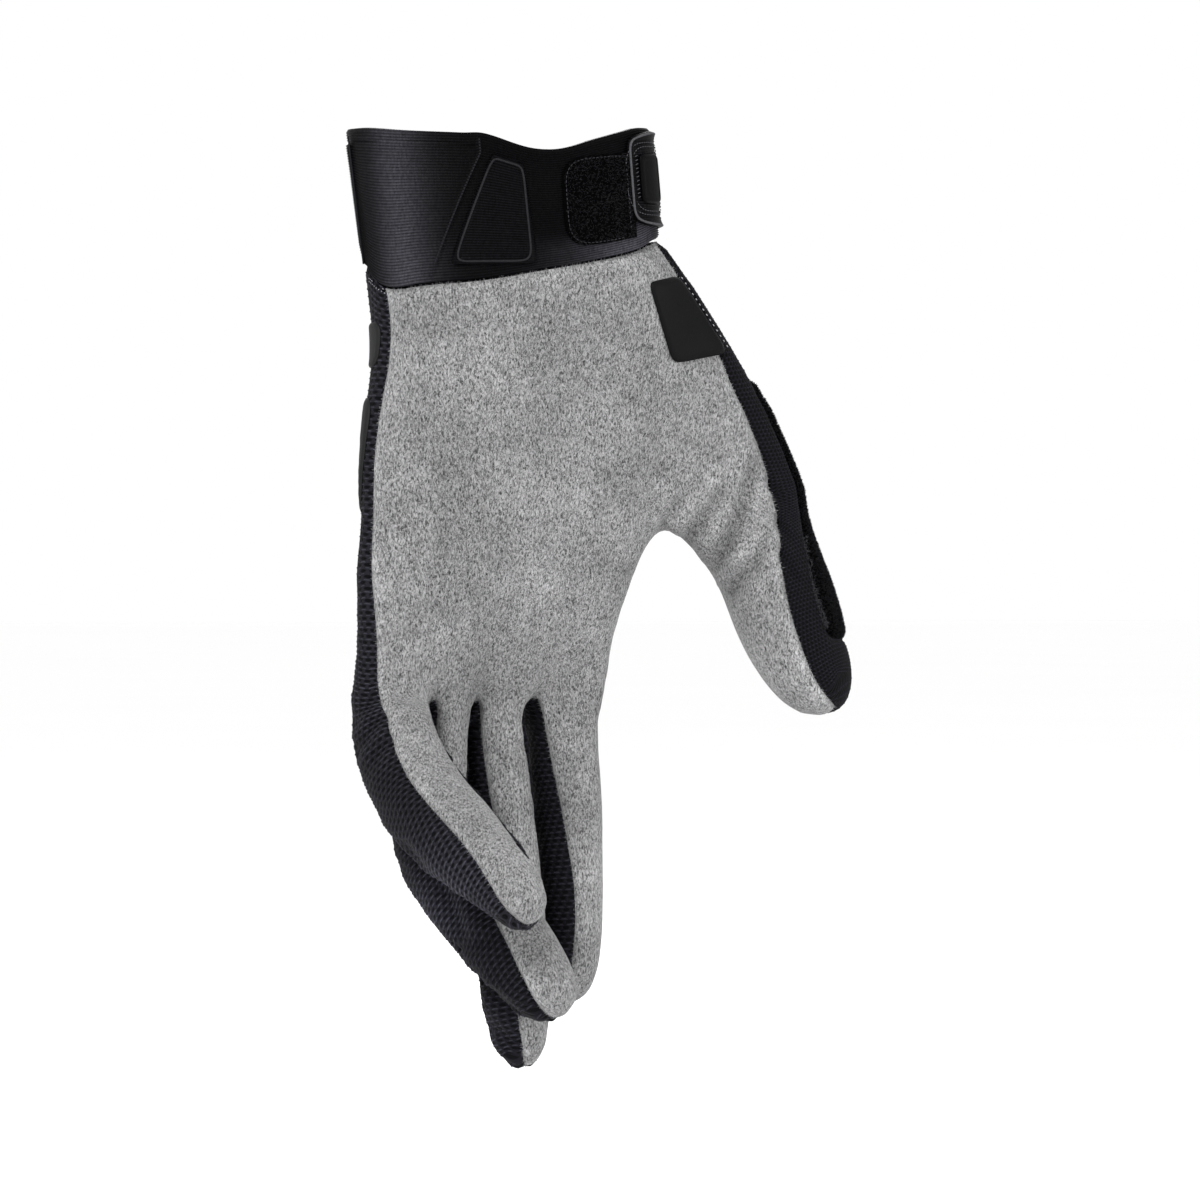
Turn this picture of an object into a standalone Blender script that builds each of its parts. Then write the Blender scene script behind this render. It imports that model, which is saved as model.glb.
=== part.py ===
"""Mountain bike glove for the left hand, in the form that it has when worn.

The middle of the cuff's mouth is the origin and the mouth faces up (+Z). The fingers hang down, the
palm faces -Y and the thumb is on the +X side. Lengths are in metres and angles in degrees. The hand
is one coarse cage of quads, smoothed by Subdivision Surface and cut along its seams into panels,
each of them a thin wall. What lies on a panel or on the cuff follows the surface under it.
"""

import math
from collections import namedtuple

import bmesh
import bpy
from mathutils import Vector
from mathutils.bvhtree import BVHTree

# Cuff
CUFF_BREADTH = 0.0726
CUFF_DEPTH = 0.0450
CUFF_HEIGHT = 0.0372
CUFF_WALL = 0.0020
WRIST_BREADTH = 0.0710
WRIST_DEPTH = 0.0420

# Hand
PALM_LENGTH = 0.1050
PALM_BREADTH = 0.0750
PALM_DEPTH = 0.0300
PANEL_WALL = 0.0010
PIECE_GAP = 0.0003
SEAM_GAP = 0.0005

# Fingers: the length is measured along the finger from its crotch
LITTLE_LENGTH = 0.0845
LITTLE_BREADTH = 0.0205
RING_LENGTH = 0.1030
RING_BREADTH = 0.0195
MIDDLE_LENGTH = 0.1000
MIDDLE_BREADTH = 0.0175
INDEX_LENGTH = 0.0835
INDEX_BREADTH = 0.0175
THUMB_LENGTH = 0.0675
THUMB_BREADTH = 0.0295

# Pieces that lie on the cuff and on the panels
TRIM_WALL = 0.0010
STRAP_WALL = 0.0016
GUARD_WALL = 0.0006
STRAP_HEIGHT = 0.0245
PATCH_HEIGHT = 0.0232
PATCH_BREADTH = 0.0200
PULL_HEIGHT = 0.0275
PULL_TOP_BREADTH = 0.0080
PULL_FOOT_BREADTH = 0.0245
BADGE_HEIGHT = 0.0125
BADGE_BREADTH = 0.0080
LABEL_LENGTH = 0.0205
LABEL_BREADTH = 0.0140
GUARD_BREADTH = 0.0070
SHORT_GUARD_LENGTH = 0.0105
LONG_GUARD_LENGTH = 0.0280
TERRY_RISE = 0.0008

# How the cage is drawn. A cage ring lies outside the smoothed ring that it gives by its swell, a
# factor. Above 2, the exponent of a section squares it off. Each crotch is pressed in from both
# faces of the hand by its groove, a share of the palm's depth, and the back's end of it lies higher
# than its palm end by its slope, a share of the palm's length. The web beside the thumb is raised by
# such a share too. The dorsal margin is the angle from the edge of the hand to the first column of
# the back.
CageRule = namedtuple(
    "CageRule", "finger_swell hand_swell squareness crotch_groove crotch_slope web_rise dorsal_margin"
)
CAGE = CageRule(1.08, 1.012, 2.3, 0.12, 0.05, 0.03, 15)
PALM_COLUMNS = 11
TUBE_COLUMNS = 9

# Round the cuff: the angle runs from the thumb side (0) over the back (90) and the little finger
# side (180) to the palm (270); the rise and the drop are shares of the cuff's height
EdgeRow = namedtuple("EdgeRow", "angle rise")
MOUTH_EDGE = (
    EdgeRow(0, 0.075),
    EdgeRow(40, 0.04),
    EdgeRow(90, -0.02),
    EdgeRow(140, 0.00),
    EdgeRow(180, 0.048),
    EdgeRow(215, 0.010),
    EdgeRow(240, -0.007),
    EdgeRow(249, -0.010),
    EdgeRow(270, -0.110),
    EdgeRow(290, -0.023),
    EdgeRow(302, 0.026),
    EdgeRow(318, 0.072),
)
WRIST_EDGE = (
    EdgeRow(0, -0.66),
    EdgeRow(90, -0.78),
    EdgeRow(168, -0.87),
    EdgeRow(182, -0.942),
    EdgeRow(198, -1.045),
    EdgeRow(214, -1.023),
    EdgeRow(246, -0.986),
    EdgeRow(282, -0.856),
    EdgeRow(310, -0.758),
    EdgeRow(326, -0.690),
)

# Sections of the hand, a row each, from the wrist to the crotches of the fingers. down and rise (of
# the thumb side over the little finger side) are shares of the palm's length. ulnar, web and radial
# are the little finger side, the column where the thumb parts, and the thumb side, as shares of the
# palm's breadth. depth, the two forwards, arch and hollow are shares of the palm's depth. The seams
# are the angles by which the palm panel stops short of each side; side is the angle by which the
# column that leads to the terry panel does.
HandRow = namedtuple(
    "HandRow",
    "down rise ulnar web radial depth ulnar_forward radial_forward arch hollow ulnar_seam radial_seam side",
)
UPPER_ROWS = (
    HandRow(0.145, 0.085, -0.420, 0.52, 0.726, 1.27, -0.23, 0.43, 0.00, 0.04, 7, 27, 12),
    HandRow(0.295, 0.090, -0.464, 0.58, 0.940, 1.17, -0.23, 0.48, 0.00, 0.09, 7, 34, 25),
    HandRow(0.450, 0.095, -0.500, 0.62, 1.080, 1.08, -0.19, 0.52, 0.00, 0.12, 7, 33, 27),
    HandRow(0.600, 0.120, -0.508, 0.63, 1.200, 0.97, -0.14, 0.50, 0.00, 0.12, 8, 32, 25),
)
TUBE_ROWS = (
    HandRow(0.714, 0.000, -0.537, 0.00, 0.467, 0.93, -0.12, 0.13, 0.05, 0.10, 10, 20, 0),
    HandRow(0.857, 0.000, -0.549, 0.00, 0.405, 0.90, 0.00, 0.07, 0.22, 0.05, 20, 20, 0),
    HandRow(1.000, 0.000, -0.608, 0.00, 0.410, 0.80, 0.12, 0.00, 0.38, 0.00, 30, 24, 0),
)
# How far across the knuckles the palm's columns stand, with a crotch at every second one
KNUCKLE_SHARES = (0.05, 0.16, 0.31, 0.41, 0.505, 0.61, 0.715, 0.85, 0.97)

# Rings of each finger. across, forward and down are shares of the finger's length from the middle of
# its root; breadth and depth are shares of its breadth; roll carries the seams round towards the
# little finger side.
FingerRow = namedtuple("FingerRow", "across forward down breadth depth roll")
LITTLE_ROWS = (
    FingerRow(-0.018, 0.050, 0.110, 0.90, 1.40, 0),
    FingerRow(-0.010, 0.105, 0.212, 0.98, 1.34, 4),
    FingerRow(-0.002, 0.195, 0.309, 1.02, 1.28, 8),
    FingerRow(0.018, 0.322, 0.403, 1.05, 1.24, 8),
    FingerRow(0.046, 0.440, 0.478, 1.03, 1.06, 6),
    FingerRow(0.074, 0.545, 0.551, 0.92, 0.90, 10),
    FingerRow(0.098, 0.628, 0.628, 0.72, 0.72, 14),
    FingerRow(0.122, 0.735, 0.722, 0.0, 0.0, 0),
)
RING_ROWS = (
    FingerRow(-0.002, -0.006, 0.110, 0.82, 1.18, 0),
    FingerRow(-0.010, -0.014, 0.225, 0.88, 1.26, 0),
    FingerRow(-0.018, 0.000, 0.319, 0.93, 1.40, 0),
    FingerRow(-0.027, 0.042, 0.400, 1.02, 1.46, -4),
    FingerRow(-0.016, 0.128, 0.474, 1.10, 1.34, -8),
    FingerRow(-0.003, 0.230, 0.549, 1.16, 1.28, -10),
    FingerRow(0.018, 0.326, 0.630, 1.16, 1.18, -2),
    FingerRow(0.039, 0.402, 0.701, 1.08, 1.06, 12),
    FingerRow(0.056, 0.445, 0.765, 0.82, 0.82, 20),
    FingerRow(0.060, 0.465, 0.835, 0.0, 0.0, 20),
)
MIDDLE_ROWS = (
    FingerRow(0.004, 0.004, 0.100, 0.90, 1.30, 8),
    FingerRow(0.012, 0.018, 0.245, 0.97, 1.38, 0),
    FingerRow(0.016, 0.044, 0.391, 0.96, 1.30, -6),
    FingerRow(0.017, 0.078, 0.531, 0.97, 1.18, -14),
    FingerRow(0.012, 0.098, 0.659, 1.03, 1.14, -18),
    FingerRow(0.012, 0.109, 0.773, 1.05, 1.12, -22),
    FingerRow(0.018, 0.123, 0.868, 0.94, 0.98, -25),
    FingerRow(0.021, 0.140, 0.940, 0.70, 0.74, -20),
    FingerRow(0.025, 0.160, 1.012, 0.0, 0.0, 0),
)
INDEX_ROWS = (
    FingerRow(0.010, 0.008, 0.110, 0.93, 1.26, 30),
    FingerRow(0.016, 0.024, 0.290, 0.96, 1.38, 16),
    FingerRow(0.020, 0.028, 0.460, 0.96, 1.30, 0),
    FingerRow(0.018, 0.044, 0.607, 0.94, 1.15, -16),
    FingerRow(0.012, 0.060, 0.745, 0.93, 1.05, -18),
    FingerRow(0.003, 0.060, 0.853, 0.90, 0.98, -17),
    FingerRow(-0.008, 0.056, 0.935, 0.74, 0.80, -15),
    FingerRow(-0.016, 0.048, 1.015, 0.0, 0.0, 0),
)
THUMB_ROWS = (
    FingerRow(0.135, 0.044, 0.142, 1.02, 1.04, 38),
    FingerRow(0.179, 0.080, 0.270, 0.98, 1.00, 50),
    FingerRow(0.222, 0.133, 0.440, 1.01, 0.98, 59),
    FingerRow(0.249, 0.192, 0.594, 0.88, 0.87, 62),
    FingerRow(0.306, 0.252, 0.735, 0.68, 0.68, 74),
    FingerRow(0.410, 0.330, 0.850, 0.0, 0.0, 0),
)
# The direction across each finger before its roll: level for the fingers, rising for the thumb
FINGER_ACROSS = Vector((1, 0, 0))
THUMB_ACROSS = Vector((0.93, -0.20, 0.35))
# The angles of the eight columns round a finger and round the thumb
FINGER_TURNS = (225, 270, 315, 0, 45, 90, 135, 180)
THUMB_TURNS = (225, 270, 315, 352, 45, 90, 135, 180)

PANELS = (
    "palm_panel",
    "back_panel",
    "gusset_little_ring",
    "gusset_ring_middle",
    "gusset_middle_index",
    "thumb_back_panel",
    "thumb_wipe",
)
PALM, BACK, GUSSET_1, GUSSET_2, GUSSET_3, THUMB_BACK, TERRY = range(len(PANELS))
# The panel on each side of a finger, from the palm side's little finger edge round to it again
LITTLE_SIDES = (PALM, PALM, GUSSET_1, GUSSET_1, BACK, BACK, BACK, BACK)
RING_SIDES = (PALM, PALM, GUSSET_2, GUSSET_2, BACK, BACK, GUSSET_1, GUSSET_1)
MIDDLE_SIDES = (PALM, PALM, GUSSET_3, GUSSET_3, BACK, BACK, GUSSET_2, GUSSET_2)
INDEX_SIDES = (PALM, PALM, PALM, BACK, BACK, BACK, GUSSET_3, GUSSET_3)
THUMB_SIDES = (PALM, PALM, THUMB_BACK, THUMB_BACK, THUMB_BACK, THUMB_BACK, THUMB_BACK, PALM)
# The palm wraps this side of a finger's end, on the fingers of these numbers from these rings on
WRAPPED_SIDE = 2
WRAPPED_RINGS = {0: 6, 1: 7}

# The terry panel covers these sides of the thumb, from this row of the hand to this ring
TERRY_SIDES = (3, 4)
TERRY_FIRST_ROW = 2
TERRY_LAST_RING = 4

Look = namedtuple("Look", "colour roughness")
SUEDE = Look((0.40, 0.40, 0.41), 0.95)
KNIT = Look((0.020, 0.020, 0.026), 0.85)
TERRY_CLOTH = Look((0.012, 0.012, 0.014), 1.0)
RIBBED = Look((0.018, 0.018, 0.021), 0.6)
RUBBER = Look((0.030, 0.030, 0.033), 0.45)
FUZZ = Look((0.010, 0.010, 0.010), 1.0)
PANEL_LOOKS = (SUEDE, KNIT, KNIT, KNIT, KNIT, KNIT, TERRY_CLOTH)
# Shading breaks where two faces meet more sharply than this
SHARP_ANGLE = 40


def clear_scene():
    for obj in list(bpy.data.objects):
        bpy.data.objects.remove(obj, do_unlink=True)


def collection(name):
    made = bpy.data.collections.new(name)
    bpy.context.scene.collection.children.link(made)
    return made


def material(name, look):
    made = bpy.data.materials.new(name)
    made.use_nodes = True
    shader = made.node_tree.nodes["Principled BSDF"]
    shader.inputs["Base Color"].default_value = (*look.colour, 1)
    shader.inputs["Roughness"].default_value = look.roughness
    shader.inputs["Metallic"].default_value = 0
    return made


def place(bm, name, look, into):
    """A finished mesh as an object with its own material."""
    mesh = bpy.data.meshes.new(name)
    bm.to_mesh(mesh)
    bm.free()
    mesh.shade_smooth()
    mesh.set_sharp_from_angle(angle=math.radians(SHARP_ANGLE))
    mesh.materials.append(material(name, look))
    made = bpy.data.objects.new(name, mesh)
    into.objects.link(made)
    return made


def squared(value):
    """A sine or cosine pushed outwards, so that a round section becomes a squarer one."""
    return math.copysign(abs(value) ** (2 / CAGE.squareness), value)


def edge_rise(rows, angle):
    """The rise at an angle, on the smooth closed curve that passes through the rows."""
    angle %= 360
    after = sum(row.angle <= angle for row in rows)
    near = []
    for k in range(after - 2, after + 2):
        turns, number = divmod(k, len(rows))
        near.append((rows[number].angle + 360 * turns, rows[number].rise))
    (a0, r0), (a1, r1), (a2, r2), (a3, r3) = near
    share = (angle - a1) / (a2 - a1)
    leaving = (r2 - r0) / (a2 - a0) * (a2 - a1)
    reaching = (r3 - r1) / (a3 - a1) * (a2 - a1)
    left = 1 - share
    first = left**2 * (r1 * (1 + 2 * share) + leaving * share)
    last = share**2 * (r2 * (1 + 2 * left) - reaching * left)
    return first + last


Section = namedtuple("Section", "ulnar web radial depth ulnar_forward radial_forward arch hollow")


def section_point(section, angle):
    """Where a section passes at an angle, in the plane, with how far across it lies."""
    natural = (1 + squared(math.cos(math.radians(angle)))) / 2
    web_at = (1 + squared(math.cos(math.radians(45)))) / 2
    if section.web is None:
        across = natural
    elif natural <= web_at:
        across = natural / web_at * section.web
    else:
        across = section.web + (natural - web_at) / (1 - web_at) * (1 - section.web)
    x = section.ulnar + (section.radial - section.ulnar) * across
    forward = section.ulnar_forward + (section.radial_forward - section.ulnar_forward) * across
    rise = squared(math.sin(math.radians(angle)))
    bulge = section.arch * 4 * across * (1 - across)
    dent = section.hollow * math.sin(math.pi * min(across, 1)) ** 2 if rise < 0 else 0
    y = -forward + section.depth / 2 * rise + bulge + dent
    return x, y, across


MOUTH_SECTION = Section(
    -0.521 * CUFF_BREADTH, None, 0.479 * CUFF_BREADTH, CUFF_DEPTH,
    -0.130 * CUFF_BREADTH, 0.130 * CUFF_BREADTH, 0, 0,
)
WRIST_SECTION = Section(
    -0.462 * WRIST_BREADTH, None, 0.538 * WRIST_BREADTH, WRIST_DEPTH,
    -0.133 * WRIST_BREADTH, 0.133 * WRIST_BREADTH, 0, 0,
)


def blend(first, second, share):
    """A section between two others."""
    values = [
        None if a is None else a + (b - a) * share for a, b in zip(first, second)
    ]
    return Section(*values)


def cuff_point(angle, share):
    """A point of the cuff's outer face, from the mouth (0) down to the wrist seam (1)."""
    x, y, _ = section_point(blend(MOUTH_SECTION, WRIST_SECTION, share), angle)
    top = edge_rise(MOUTH_EDGE, angle) * CUFF_HEIGHT
    foot = edge_rise(WRIST_EDGE, angle) * CUFF_HEIGHT
    return Vector((x, y, top + (foot - top) * share))


def swollen(points, factor):
    """Points moved away from their middle in the plane."""
    middle = sum(points, Vector()) / len(points)
    moved = []
    for point in points:
        away = (point - middle) * factor
        moved.append(Vector((middle.x + away.x, middle.y + away.y, point.z)))
    return moved


def column_angles(count, row):
    """The angle of each column of a ring, from the little finger side through the palm."""
    first = 180 + row.ulnar_seam
    last = 360 - row.radial_seam
    palmar = [first + (last - first) * k / (count - 1) for k in range(count)]
    back_span = 180 - 2 * CAGE.dorsal_margin
    dorsal = [CAGE.dorsal_margin + back_span * k / (count - 1) for k in range(count)]
    return [180, *palmar, 360 - row.side, *dorsal]


def knuckle_angles():
    """The angle of each column of the last ring, from its share of the way across the knuckles."""
    turns = []
    for share in KNUCKLE_SHARES:
        offset = 2 * share - 1
        turns.append(math.degrees(math.acos(math.copysign(abs(offset) ** (CAGE.squareness / 2), offset))))
    return [180, *(360 - turn for turn in turns), 0, *reversed(turns)]


def hand_ring(row, angles):
    """The points of one section of the hand."""
    section = Section(
        row.ulnar * PALM_BREADTH,
        (row.web - row.ulnar) / (row.radial - row.ulnar) if row.web else None,
        row.radial * PALM_BREADTH,
        row.depth * PALM_DEPTH,
        row.ulnar_forward * PALM_DEPTH,
        row.radial_forward * PALM_DEPTH,
        row.arch * PALM_DEPTH,
        row.hollow * PALM_DEPTH,
    )
    points = []
    for angle in angles:
        x, y, across = section_point(section, angle)
        z = (row.rise * across**2 - row.down) * PALM_LENGTH - CUFF_HEIGHT
        points.append(Vector((x, y, z)))
    return swollen(points, CAGE.hand_swell)


def wrist_ring():
    """The first ring of the hand, which meets the foot of the cuff once it is smoothed."""
    angles = column_angles(PALM_COLUMNS, UPPER_ROWS[0])
    points = [cuff_point(angle, 1) for angle in angles]
    ring = []
    for k, point in enumerate(points):
        neighbours = (points[k - 1] + points[(k + 1) % len(points)]) / 2
        ring.append(point + (point - neighbours) / 3 - Vector((0, 0, PIECE_GAP)))
    return ring


def finger_rings(root, length, breadth, across, rows, turns):
    """The rings of a finger and its tip, as points, from the middle of its root."""
    middles = [root]
    for row in rows:
        middles.append(root + length * Vector((row.across, -row.forward, -row.down)))
    half = breadth * CAGE.finger_swell / 2
    rings = []
    for k, row in enumerate(rows[:-1]):
        along = (middles[k + 2] - middles[k]).normalized()
        side = (across - along * across.dot(along)).normalized()
        back = side.cross(along)
        ring = []
        for angle in turns:
            turned = math.radians(angle - row.roll)
            ring.append(
                middles[k + 1]
                + side * (math.cos(turned) * row.breadth * half)
                + back * (math.sin(turned) * row.depth * half)
            )
        rings.append(ring)
    return rings, middles[-1]


def loft(bm, upper, lower, panels):
    """A band of quads between two rings of vertices, one panel number for each column."""
    for k, panel in enumerate(panels):
        n = (k + 1) % len(upper)
        face = bm.faces.new((lower[k], lower[n], upper[n], upper[k]))
        face.material_index = panel


def grow_finger(bm, base, points, tip, sides, terry_rings=0, wrapped_rings=None):
    """The tube of a finger from its base ring to its closed tip. The palm may wrap its end."""
    ring = base
    for number, row in enumerate(points):
        lower = [bm.verts.new(point) for point in row]
        panels = [
            TERRY if number < terry_rings and side in TERRY_SIDES else panel
            for side, panel in enumerate(sides)
        ]
        if wrapped_rings is not None and number >= wrapped_rings:
            panels[WRAPPED_SIDE] = PALM
        loft(bm, ring, lower, panels)
        ring = lower
    end = bm.verts.new(tip)
    for first in (0, 2, 4, 6):
        corners = [ring[(first + k) % len(ring)] for k in range(3)]
        face = bm.faces.new((corners[2], corners[1], corners[0], end))
        wrapped = wrapped_rings is not None and first == WRAPPED_SIDE
        face.material_index = PALM if wrapped else sides[first]


def middle_of(points):
    return sum((point.co for point in points), Vector()) / len(points)


def hand_cage():
    """The coarse cage of the whole hand, with the panel of each face as its material number."""
    bm = bmesh.new()
    rings = [[bm.verts.new(point) for point in wrist_ring()]]
    for row in UPPER_ROWS:
        angles = column_angles(PALM_COLUMNS, row)
        rings.append([bm.verts.new(point) for point in hand_ring(row, angles)])
    back_columns = TUBE_COLUMNS - 1
    for number, (upper, lower) in enumerate(zip(rings, rings[1:])):
        outside = TERRY if number >= TERRY_FIRST_ROW else THUMB_BACK
        panels = (
            [BACK] + [PALM] * (PALM_COLUMNS - 1)
            + [THUMB_BACK, outside, outside, THUMB_BACK]
            + [BACK] * (back_columns + 1)
        )
        loft(bm, upper, lower, panels)

    # The last upper ring parts into the thumb and the palm
    last = rings[-1]
    thumb_end = PALM_COLUMNS + 4
    web = bm.verts.new((last[TUBE_COLUMNS].co + last[thumb_end].co) / 2)
    web.co.z += CAGE.web_rise * PALM_LENGTH
    thumb_base = [*last[TUBE_COLUMNS : thumb_end + 1], web]
    ring = [*last[: TUBE_COLUMNS + 1], web, *last[thumb_end:]]
    points, tip = finger_rings(
        middle_of(thumb_base), THUMB_LENGTH, THUMB_BREADTH, THUMB_ACROSS, THUMB_ROWS, THUMB_TURNS
    )
    grow_finger(bm, thumb_base, points, tip, THUMB_SIDES, TERRY_LAST_RING)

    for row in TUBE_ROWS:
        angles = column_angles(TUBE_COLUMNS, row)
        if row is TUBE_ROWS[-1]:
            angles = knuckle_angles()
        lower = [bm.verts.new(point) for point in hand_ring(row, angles)]
        panels = [BACK] + [PALM] * TUBE_COLUMNS + [BACK] * (TUBE_COLUMNS + 1)
        loft(bm, ring, lower, panels[: len(ring)])
        ring = lower

    # The last ring parts into four fingers, with a crotch point between each two
    for vert in ring[TUBE_COLUMNS + 2 :]:
        vert.co.z += CAGE.crotch_slope * PALM_LENGTH
    crotches = [ring[0]]
    for k in (1, 2, 3):
        ring[1 + 2 * k].co.y += CAGE.crotch_groove * PALM_DEPTH
        ring[19 - 2 * k].co.y -= CAGE.crotch_groove * PALM_DEPTH
        crotches.append(bm.verts.new((ring[1 + 2 * k].co + ring[19 - 2 * k].co) / 2))
    crotches.append(ring[TUBE_COLUMNS + 1])
    fingers = (
        (LITTLE_LENGTH, LITTLE_BREADTH, LITTLE_ROWS, LITTLE_SIDES),
        (RING_LENGTH, RING_BREADTH, RING_ROWS, RING_SIDES),
        (MIDDLE_LENGTH, MIDDLE_BREADTH, MIDDLE_ROWS, MIDDLE_SIDES),
        (INDEX_LENGTH, INDEX_BREADTH, INDEX_ROWS, INDEX_SIDES),
    )
    for k, (length, breadth, rows, sides) in enumerate(fingers):
        base = [
            *ring[1 + 2 * k : 4 + 2 * k],
            crotches[k + 1],
            *ring[17 - 2 * k : 20 - 2 * k],
            crotches[k],
        ]
        root = middle_of(base)
        points, tip = finger_rings(root, length, breadth, FINGER_ACROSS, rows, FINGER_TURNS)
        grow_finger(bm, base, points, tip, sides, wrapped_rings=WRAPPED_RINGS.get(k))
    return bm


def smoothed(bm, guides, levels):
    """The cage as a guide object with Subdivision Surface, and the smooth mesh that it gives."""
    mesh = bpy.data.meshes.new("hand_cage")
    bm.to_mesh(mesh)
    bm.free()
    guide = bpy.data.objects.new("hand_cage", mesh)
    guides.objects.link(guide)
    guide.hide_render = True
    guide.display_type = "WIRE"
    for _ in PANELS:
        mesh.materials.append(None)
    smooth = guide.modifiers.new("smooth", "SUBSURF")
    smooth.levels = levels
    smooth.render_levels = levels
    bpy.context.view_layer.update()
    evaluated = guide.evaluated_get(bpy.context.evaluated_depsgraph_get())
    return bpy.data.meshes.new_from_object(evaluated)


def draw_in_border(bm, distance):
    """Each border vertex moves inwards along the surface."""
    bm.normal_update()
    inwards = {}
    for edge in bm.edges:
        if len(edge.link_faces) != 1:
            continue
        face = edge.link_faces[0]
        a, b = edge.verts
        side = face.normal.cross(b.co - a.co).normalized()
        if side.dot(face.calc_center_median() - a.co) < 0:
            side.negate()
        for vert in edge.verts:
            inwards.setdefault(vert, []).append(side)
    for vert, sides in inwards.items():
        way = sum(sides, Vector()).normalized()
        square = max(way.dot(sides[0]), 0.5)
        vert.co += way * (distance / square)


def thicken(bm, normals, wall, rise=0.0):
    """The open surface becomes a closed wall that lies inside it, or partly above it."""
    made = bmesh.ops.extrude_face_region(bm, geom=bm.faces[:], use_keep_orig=True)
    upper = {tuple(v.co): v for v in made["geom"] if isinstance(v, bmesh.types.BMVert)}
    for below, normal in normals.items():
        above = upper[tuple(below.co)]
        above.co += normal * rise
        below.co -= normal * wall
    bmesh.ops.recalc_face_normals(bm, faces=bm.faces[:])
    bmesh.ops.triangulate(bm, faces=bm.faces[:])


def cut_panels(surface, into):
    """One closed wall for each panel of the smooth hand."""
    for number, name in enumerate(PANELS):
        bm = bmesh.new()
        bm.from_mesh(surface)
        bm.verts.ensure_lookup_table()
        normals = {vert: vert.normal.copy() for vert in bm.verts}
        others = [face for face in bm.faces if face.material_index != number]
        bmesh.ops.delete(bm, geom=others, context="FACES")
        normals = {vert: normal for vert, normal in normals.items() if vert.is_valid}
        for face in bm.faces:
            face.material_index = 0
        draw_in_border(bm, SEAM_GAP / 2)
        rise = TERRY_RISE if number == TERRY else 0
        thicken(bm, normals, PANEL_WALL, rise)
        place(bm, name, PANEL_LOOKS[number], into)


def grid_wall(name, point_at, columns, rows, wall, lift, look, into, corner=0.0):
    """A thin plate over a grid of shares (0 to 1 both ways), with its corners taken off."""
    bm = bmesh.new()
    bmesh.ops.create_grid(bm, x_segments=columns, y_segments=rows, size=0.5)
    normals = {}
    for vert in bm.verts:
        across, down = vert.co.x + 0.5, 0.5 - vert.co.y
        if len(vert.link_edges) == 2:
            across += corner * (0.5 - across) * 2 / columns
            down += corner * (0.5 - down) * 2 / rows
        point, normal = point_at(across, down)
        vert.co = point + normal * lift
        normals[vert] = normal
    thicken(bm, normals, 0, wall)
    return place(bm, name, look, into)


# The share of the way down the cuff that its outward direction is taken over
NORMAL_STEP = 0.05


def cuff_normal(angle, share):
    """The outward direction on the cuff."""
    along = cuff_point(angle + 1, share) - cuff_point(angle - 1, share)
    below, above = min(share + NORMAL_STEP, 1), max(share - NORMAL_STEP, 0)
    down = cuff_point(angle, below) - cuff_point(angle, above)
    return down.cross(along).normalized()


def make_cuff(into, segments=72, bands=4):
    """The ribbed tube round the wrist, open at both ends."""
    bm = bmesh.new()
    foot = 1 - PIECE_GAP / CUFF_HEIGHT
    normals = {}
    rings = []
    for band in range(bands + 1):
        ring = []
        for k in range(segments):
            angle = 360 * k / segments
            share = foot * band / bands
            vert = bm.verts.new(cuff_point(angle, share))
            normals[vert] = cuff_normal(angle, share)
            ring.append(vert)
        rings.append(ring)
    for upper, lower in zip(rings, rings[1:]):
        loft(bm, upper, lower, [0] * segments)
    thicken(bm, normals, CUFF_WALL)
    place(bm, "cuff", RIBBED, into)


def cuff_share(angle, drop):
    """The share of the way down the cuff at which a point lies this far under the mouth's plane."""
    top = cuff_point(angle, 0).z
    foot = cuff_point(angle, 1).z
    return (top + drop) / (top - foot)


def angle_after(angle, distance, drop):
    """The angle that lies this far round the cuff from another."""
    step = math.copysign(0.5, distance)
    left = abs(distance)
    while left > 0:
        share = cuff_share(angle, drop)
        walked = (cuff_point(angle + step, share) - cuff_point(angle, share)).length
        angle += step * min(1, left / walked)
        left -= walked
    return angle


# Where the pieces on the cuff lie: the angle of the middle, the depth of the top edge under the
# plane of the mouth as a share of the cuff's height, and the shift to the side for each length down
CuffPlace = namedtuple("CuffPlace", "angle top lean")
PULL_PLACE = CuffPlace(256.5, 0.14, -0.19)
PATCH_PLACE = CuffPlace(287, 0.145, 0)
BADGE_PLACE = CuffPlace(318.5, 0.15, 0)
# The strap runs from its loose end round to its root
StrapPlace = namedtuple("StrapPlace", "end_angle root_angle top")
STRAP_PLACE = StrapPlace(309, 400, -0.02)


def on_cuff(spot, height, top_breadth, foot_breadth, lift=0.0):
    """A four-sided place on the cuff, as a function of the shares across and down it."""

    def point_at(across, down):
        drop = spot.top * CUFF_HEIGHT + height * down
        breadth = top_breadth + (foot_breadth - top_breadth) * down
        shift = spot.lean * height * down
        angle = angle_after(spot.angle, (across - 0.5) * breadth + shift, drop)
        share = cuff_share(angle, drop)
        normal = cuff_normal(angle, share)
        return cuff_point(angle, share) + normal * lift, normal

    return point_at


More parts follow.
